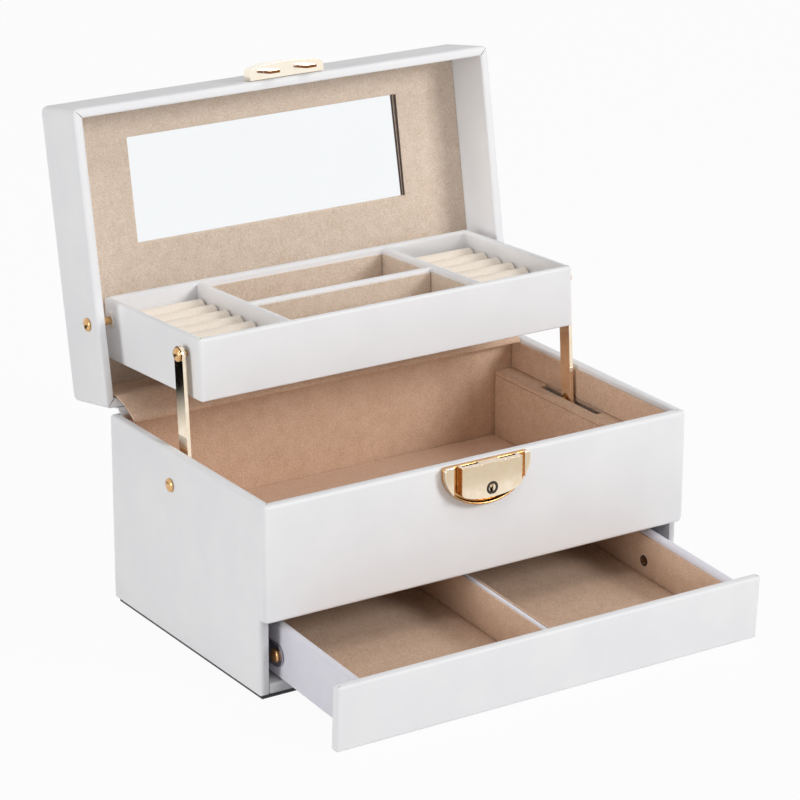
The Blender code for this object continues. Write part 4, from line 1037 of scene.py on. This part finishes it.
def top_corner(side):
    """The rounded upper corner of the plate on one side, from its top to its flank."""
    centre = Vector((side * (plate_half - PLATE_CORNER), 0, plate_high.z - PLATE_CORNER))
    turns = [QUARTER - math.pi / 12 * step for step in range(SHOULDER_STEPS + 1)]
    return [(centre.x + side * PLATE_CORNER * math.cos(turn), centre.z + PLATE_CORNER * math.sin(turn))
            for turn in turns]


def skin(shape, rows, closed):
    """Faces between rows of points; closed rows run round on themselves."""
    rows = [[shape.verts.new(point) for point in row] for row in rows]
    count = len(rows[0])
    for upper, lower in zip(rows, rows[1:]):
        for start in range(count if closed else count - 1):
            after = (start + 1) % count
            shape.faces.new((upper[start], upper[after], lower[after], lower[start]))
    return rows


lower_edge = [(point.x, point.z) for point in (
    half_moon(math.pi * step / CURVE_STEPS) for step in range(1, CURVE_STEPS))]
plate_outline = top_corner(-1)[::-1] + top_corner(1) + lower_edge
plate_mesh = slab("lock_plate_cast", plate_outline, plate_high.y, plate_face_y)
# The plate shows mostly in the grooves beside the slider, and its darker, warmer metal paints their shade.
dress(ease(plate_mesh, PLATE_EDGE, 4, CAST_ANGLE), brass_with_painted_lock_shade, "case", "champagne_gold", "lock_plate")
slider_low, slider_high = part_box("lock_slider")
for side, side_name in ((-1, "left"), (1, "right")):
    start = slider_high.x + EAR_GAPS[side_name]
    flank = [point for point in lower_edge if side * point[0] > start][::side]
    foot_z = shoulder_z - plate_drop * math.sqrt(1 - (start / plate_half) ** 2)
    outline = [(side * start, plate_high.z)] + top_corner(side) + flank + [(side * start, foot_z)]
    ear_mesh = slab("lock_ear_" + side_name, outline, plate_face_y + PLATE_SINK, plate_face_y - EAR_RISE)
    dress(ease(ear_mesh, EAR_EDGE, sharp=CAST_ANGLE), gold, "case", "champagne_gold")

first_turn = math.acos(LIP_SPAN_SHARE)
loops = []
for step in range(CURVE_STEPS + 1):
    share = step / CURVE_STEPS
    turn = first_turn + (math.pi - 2 * first_turn) * share
    outward = Vector((math.cos(turn) / plate_half, 0, -math.sin(turn) / plate_drop)).normalized()
    swell = max(math.sin(math.pi * share), 0.0) ** LIP_SWELL
    half_width = LIP_WIDTH / 2 * max(swell, 0.08)
    rise = (plate_face_y - plate_low.y) * max(swell, 0.05)
    centre = half_moon(turn) - outward * half_width
    loop = []
    for corner in range(LIP_CORNERS + 1):
        angle = math.pi * corner / LIP_CORNERS
        loop.append(centre + outward * half_width * math.cos(angle)
                    + Vector((0, plate_face_y - rise * math.sin(angle) ** LIP_ROUNDNESS, 0)))
    for foot in (-0.9, 0.9):
        loop.append(centre + outward * half_width * foot + Vector((0, plate_face_y + PLATE_SINK, 0)))
    loops.append(loop)
shape = bmesh.new()
rows = skin(shape, loops, closed=True)
shape.faces.new(rows[0])
shape.faces.new(rows[-1])
bmesh.ops.recalc_face_normals(shape, faces=shape.faces)
# The lip gets the same darker, warmer metal, which paints its shade and warm reflection.
dress(stand("lock_lip_cast", to_mesh(shape, "lock_lip_cast")), brass_with_painted_lock_shade, "case", "champagne_gold")

# %% Slider, key cylinder, keyhole and latch
SLIDER_RIM = 1.0 * MM
KEY_RING_WIDTH = 1.1 * MM
KEY_RING_DEPTH = 0.6 * MM

slider = eased("lock_slider", 0.22 * MM, gold, "champagne_gold", sharp=CAST_ANGLE)
slider.data.materials.append(brass_with_painted_lock_shade)
slider.data.materials.append(painted_shade_dark)
# The slider's flanks get the darker, warmer metal, which paints the shade and warm reflection in the gaps beside it,
# and the walls of its slots are painted dark as their shade.
for face in slider.data.polygons:
    inside = slider_low.x + SLIDER_RIM < face.center.x < slider_high.x - SLIDER_RIM
    if abs(face.normal.x) > 0.9 and not inside:
        face.material_index = 1
    if face.center.z < slider_high.z - 0.2 * MM and face.center.y > slider_low.y + SLIDER_RIM and inside:
        face.material_index = 2
eased("lock_cylinder", 0.25 * MM, gold, "champagne_gold")
# The latch is the same plating as the lock, drawn paler to paint the strong light on it.
latch = eased("latch_plate", 0.18 * MM, gold_painted_paler_on_latch, "champagne_gold")
# The hooks get the dark copy, which paints the dark reflection they show.
latch.data.materials.append(hooks_painted_dark_as_reflection)
to_closed = opened["lid"].inverted()
for face in latch.data.polygons:
    if (to_closed @ face.center).z < lid_low.z - 0.3 * MM:
        face.material_index = 1
key_low, key_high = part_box("lock_cylinder")
key_place = Vector(((key_low.x + key_high.x) / 2, 0, (key_low.z + key_high.z) / 2))
key_radius = (key_high.x - key_low.x) / 2
key_front = -min(key_low.y, slider_low.y)
ring_inner, ring_outer = key_radius - KEY_RING_WIDTH, key_radius + 0.1 * MM
ring_back = key_front - KEY_RING_DEPTH
key_ring = [(ring_inner, ring_back), (ring_outer, ring_back), (ring_outer, key_front + 0.08 * MM),
            (ring_inner, key_front + 0.05 * MM)]
# A dark ring over the edge of the key cylinder paints the shade of the gap round it.
turned_part("keyhole_shade_ring", key_ring, key_place, "front", blackened_eyelets_and_keyhole_shade, "lock_slider", "dark_brass", ring=True)

# %% [markdown]
# The lid turns on a strip of leather, not on a metal hinge. Outside, a white strip is glued to both rear
# walls and folds between them; inside, a strip of suede hides the gap from the lid's lining down to the
# case's, and its bends have pressed two faint creases into it. Both are shaped between the two bodies as
# the box stands open: near the case they lie as in the closed box, near the lid they are turned as the lid is.

# %% Hinge strips
strip_low, strip_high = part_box("hinge_strip")
STRIP = 0.8 * MM
STRIP_OFF = 0.3 * MM
STRIP_COLUMNS = 24
FOLD_STEPS = 7
GLUED_STEPS = 6
STRIP_EDGE = 0.28 * MM
GLUED = 20.0 * MM
RIM_TUCK = 1.0 * MM
INNER_STRIP_HALF = 118.6 * MM
INNER_START = 0.4 * MM
CREASE_STEPS = 36
CREASES = {7: 0.16 * MM, 8: 0.34 * MM, 9: 0.16 * MM, 15: 0.12 * MM, 16: 0.28 * MM, 17: 0.12 * MM}


def in_open_lid(y, z):
    """A place of the closed lid, in the open box's side view."""
    moved = opened["lid"] @ Vector((0, y, z))
    return moved.y, moved.z


def bent_between(first, last, bulge):
    """Places between two ends of a strip, pushed out by a bulge at the middle."""
    first, last = Vector(first), Vector(last)
    outward = Vector((-(last - first).y, (last - first).x)).normalized()
    return [tuple(first.lerp(last, share) + outward * bulge * math.sin(math.pi * share))
            for share in (step / FOLD_STEPS for step in range(1, FOLD_STEPS))]


def hinge_ribbon(name, case_part, lid_part, bulge, half_width, material):
    """A strip along its path in the side view, with its own thickness and soft edges."""
    path = case_part + bent_between(case_part[-1], lid_part[0], bulge) + lid_part
    shape = bmesh.new()
    skin(shape, [[(-half_width + 2 * half_width * column / STRIP_COLUMNS, y, z)
                  for column in range(STRIP_COLUMNS + 1)] for y, z in path], closed=False)
    piece = stand(name, to_mesh(shape, name))
    solid = piece.modifiers.new("thickness", "SOLIDIFY")
    solid.thickness = STRIP
    solid.offset = 0
    round_edges(piece, STRIP_EDGE, 2, 60.0)
    bake(piece)
    cover(piece, material)
    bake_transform(piece)
    return piece


outer_y = case_high.y + STRIP_OFF + STRIP / 2
case_part = [(outer_y, strip_low.z + (case_high.z - RIM_TUCK - strip_low.z) * step / GLUED_STEPS)
             for step in range(GLUED_STEPS + 1)]
lid_part = [in_open_lid(outer_y, lid_low.z + RIM_TUCK + GLUED * step / GLUED_STEPS)
            for step in range(GLUED_STEPS + 1)]
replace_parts(hinge_ribbon("hinge_strip_outside", case_part, lid_part, -0.8 * MM, strip_high.x, leather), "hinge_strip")

# At the case the strip starts in the plane of the drawer's rear board
case_y = drawer_rear_low.y - STRIP_OFF - STRIP / 2
lid_y = lid_rear_low.y - STRIP_OFF - STRIP / 2
case_part = [(case_y, closed_box("lining_rear")[1].z + STRIP * 0.7), (case_y, case_high.z - 0.2 * MM)]
lid_depth = closed_box("lid_lining")[0].z - 0.3 * MM - lid_low.z
lid_part = [
    in_open_lid(lid_y - CREASES.get(step, 0.0),
                lid_low.z + INNER_START + (lid_depth - INNER_START) * step / CREASE_STEPS)
    for step in range(CREASE_STEPS + 1)]
hinge_ribbon("hinge_strip_inside", case_part, lid_part, 1.2 * MM, INNER_STRIP_HALF, suede_deepened_as_painted_shade)

# %% [markdown]
# Where the leather turns a corner it is cut at 45 degrees, and the cut stays visible as a fine slit.
# Slits are thin dark slivers that lie in the surface at the corners of the lid's rim, the tray, the
# case's rim and the drawer's front; their dark colour paints the shade inside the cut.

# %% Mitre slits
SLIT_WIDTH = 0.35 * MM
SLIT_RISE = 0.04 * MM
SLIT_DEPTH = 0.3 * MM


def slits(name, body, z, up, x, ys, inset, length):
    """Diagonal slits at corners; inset is the distance of a slit's outer end from the corner."""
    joined = bmesh.new()
    for corner_x, corner_y in [(side * x, y) for side in (-1, 1) for y in ys]:
        inward = Vector((-math.copysign(1, corner_x), -math.copysign(1, corner_y), 0)).normalized()
        across = Vector((inward.y, -inward.x, 0)) * SLIT_WIDTH / 2
        start = Vector((corner_x, corner_y, z)) + inward * inset
        end = start + inward * length
        ring = [start - across * 0.3, start + across * 0.3, end + across, end - across]
        top = [joined.verts.new(point + Vector((0, 0, up * SLIT_RISE))) for point in ring]
        bottom = [joined.verts.new(point - Vector((0, 0, up * SLIT_DEPTH))) for point in ring]
        joined.faces.new(top)
        joined.faces.new(bottom[::-1])
        for corner in range(4):
            after = (corner + 1) % 4
            joined.faces.new((top[after], top[corner], bottom[corner], bottom[after]))
    bmesh.ops.recalc_face_normals(joined, faces=joined.faces)
    mesh = to_mesh(joined, name)
    mesh.transform(opened[body])
    # The slivers' dark colour paints the shade inside the cut.
    dress(stand(name, mesh), painted_shade_dark, body, "white_leather")


slits("lid_rim_slits", "lid", lid_low.z, -1, top_high.x, (top_low.y, top_high.y), 2.2 * MM, 4.2 * MM)
slits("tray_rim_slits", "tray", tray_front_high.z, 1, tray_front_high.x, (tray_front_low.y, tray_rear_high.y),
      2.0 * MM, 1.6 * MM)
slits("drawer_front_slits", "drawer", drawer_high.z, 1, drawer_high.x, (drawer_low.y,), 1.4 * MM, 1.3 * MM)
slits("case_rim_slits", "case", case_high.z, 1, case_high.x, (case_low.y, case_high.y), 4.2 * MM, 1.7 * MM)

# %% [markdown]
# The stage is a white floor in a white room. Camera and reflections see the room at full white, and the
# floor nearly so, with its shadow kept; the room's own light on the box is set much lower.

# %% Floor and room
FLOOR_SIZE = 30.0
FLOOR_GLOW_SHARE = 0.95
ROOM_LIGHT = 0.35


def stage_sheet(name, low, high, z, material):
    """A flat sheet of the stage."""
    mesh = bpy.data.meshes.new(name)
    mesh.from_pydata([(low[0], low[1], z), (high[0], low[1], z), (high[0], high[1], z), (low[0], high[1], z)],
                     [], [(0, 1, 2, 3)])
    mesh.materials.append(material)
    sheet = stand(name, mesh)
    return sheet


floor_paint, tree, shader = new_material("matt_white_floor", Roughness=0.9, Base_Color=linear("D3D3D3"))
glow = add_node(tree, "ShaderNodeEmission", inputs={"Color": linear("FFFFFF"), "Strength": 1.0})
ray = add_node(tree, "ShaderNodeLightPath").outputs
seen = add_node(tree, "ShaderNodeMath", {"operation": "MULTIPLY"}, {
    0: ray["Is Camera Ray"], 1: FLOOR_GLOW_SHARE})
seen = add_node(tree, "ShaderNodeMath", {"operation": "MAXIMUM"}, {0: seen, 1: ray["Is Glossy Ray"]})
mixed = add_node(tree, "ShaderNodeMixShader", inputs={"Fac": seen, 1: shader, 2: glow})
tree.links.new(mixed.outputs["Shader"], tree.nodes["Material Output"].inputs["Surface"])
stage_sheet("floor", (-FLOOR_SIZE, -FLOOR_SIZE), (FLOOR_SIZE, FLOOR_SIZE), 0.0, floor_paint)

world = bpy.data.worlds.new("white_room")
bpy.context.scene.world = world
world.use_nodes = True
tree = world.node_tree
tree.nodes.clear()
ray = add_node(tree, "ShaderNodeLightPath").outputs
seen = ray["Is Camera Ray"]
for other in ("Is Glossy Ray", "Is Transmission Ray"):
    seen = add_node(tree, "ShaderNodeMath", {"operation": "MAXIMUM"}, {0: seen, 1: ray[other]})
room, white = [add_node(tree, "ShaderNodeBackground", inputs={"Color": linear("FFFFFF"), "Strength": strength})
               for strength in (ROOM_LIGHT, 1.0)]
mixed = add_node(tree, "ShaderNodeMixShader", inputs={"Fac": seen, 1: room, 2: white})
add_node(tree, "ShaderNodeOutputWorld", inputs={"Surface": mixed})

# %% [markdown]
# Lamps stand far away, so that the light is even: a low one at the front and right reaches into the case
# under the tray, a large low one on the left keeps that side from getting dull, and a weak high one
# brightens rims and floors. A photographer shapes polished metal with cards, because metal in a purely
# white room looks flat. Two lie on the floor and are seen by reflections only: the black one darkens
# the faces of the arms and the edges of the rivets, the grey one tones the face of the lock.

# %% Lamps and cards
LAMP_DISTANCE = 4.0
LAMP_AIM_HEIGHT = 0.1

for name, direction, size, level in (
        ("lamp_low_front_right", (0.50, -0.78, 0.43), 1.2, 0.48),
        ("lamp_low_left", (-1.00, -0.14, 0.10), 1.6, 0.46),
        ("lamp_high_front", (0.15, -0.45, 0.88), 1.2, 0.13)):
    # level is the share of full white that a lamp adds to a white face turned to it
    lamp = bpy.data.lights.new(name, "AREA")
    lamp.size = size
    lamp.energy = level * math.pi ** 2 * LAMP_DISTANCE ** 2
    place = Vector(direction).normalized() * LAMP_DISTANCE
    lamp_object = stand(name, lamp)
    lamp_object.location = place + Vector((0, 0, LAMP_AIM_HEIGHT))
    lamp_object.rotation_euler = place.to_track_quat("Z", "Y").to_euler()

for name, low, high, colour, fade in (
        ("black_card", (-0.60, 0.276), (-0.20, 0.470), "0C0A09", (0.276, 0.341)),
        ("grey_card", (-0.10, -0.600), (0.50, -0.275), "E2DCD2", (-0.275, -0.280))):
    # A card's edge nearest the box fades into the white floor
    card_paint, tree, shader = new_material(name + "_paint", Roughness=0.9, Base_Color=(0, 0, 0, 1))
    place = add_node(tree, "ShaderNodeTexCoord").outputs["Object"]
    depth = add_node(tree, "ShaderNodeSeparateXYZ", inputs={"Vector": place}).outputs["Y"]
    full = add_node(tree, "ShaderNodeMapRange", inputs={
        "Value": depth, "From Min": fade[0], "From Max": fade[1]})
    mixed = add_node(tree, "ShaderNodeMix", {"data_type": "RGBA"}, {
        "Factor": full, "A": linear("FFFFFF"), "B": linear(colour)})
    shade = add_node(tree, "ShaderNodeEmission", inputs={"Color": mixed})
    tree.links.new(shade.outputs["Emission"], tree.nodes["Material Output"].inputs["Surface"])
    card = stage_sheet(name, low, high, 1.0 * MM, card_paint)
    card.visible_camera = False
    card.visible_diffuse = False
    card.visible_shadow = False

bpy.context.scene.view_settings.view_transform = "Standard"
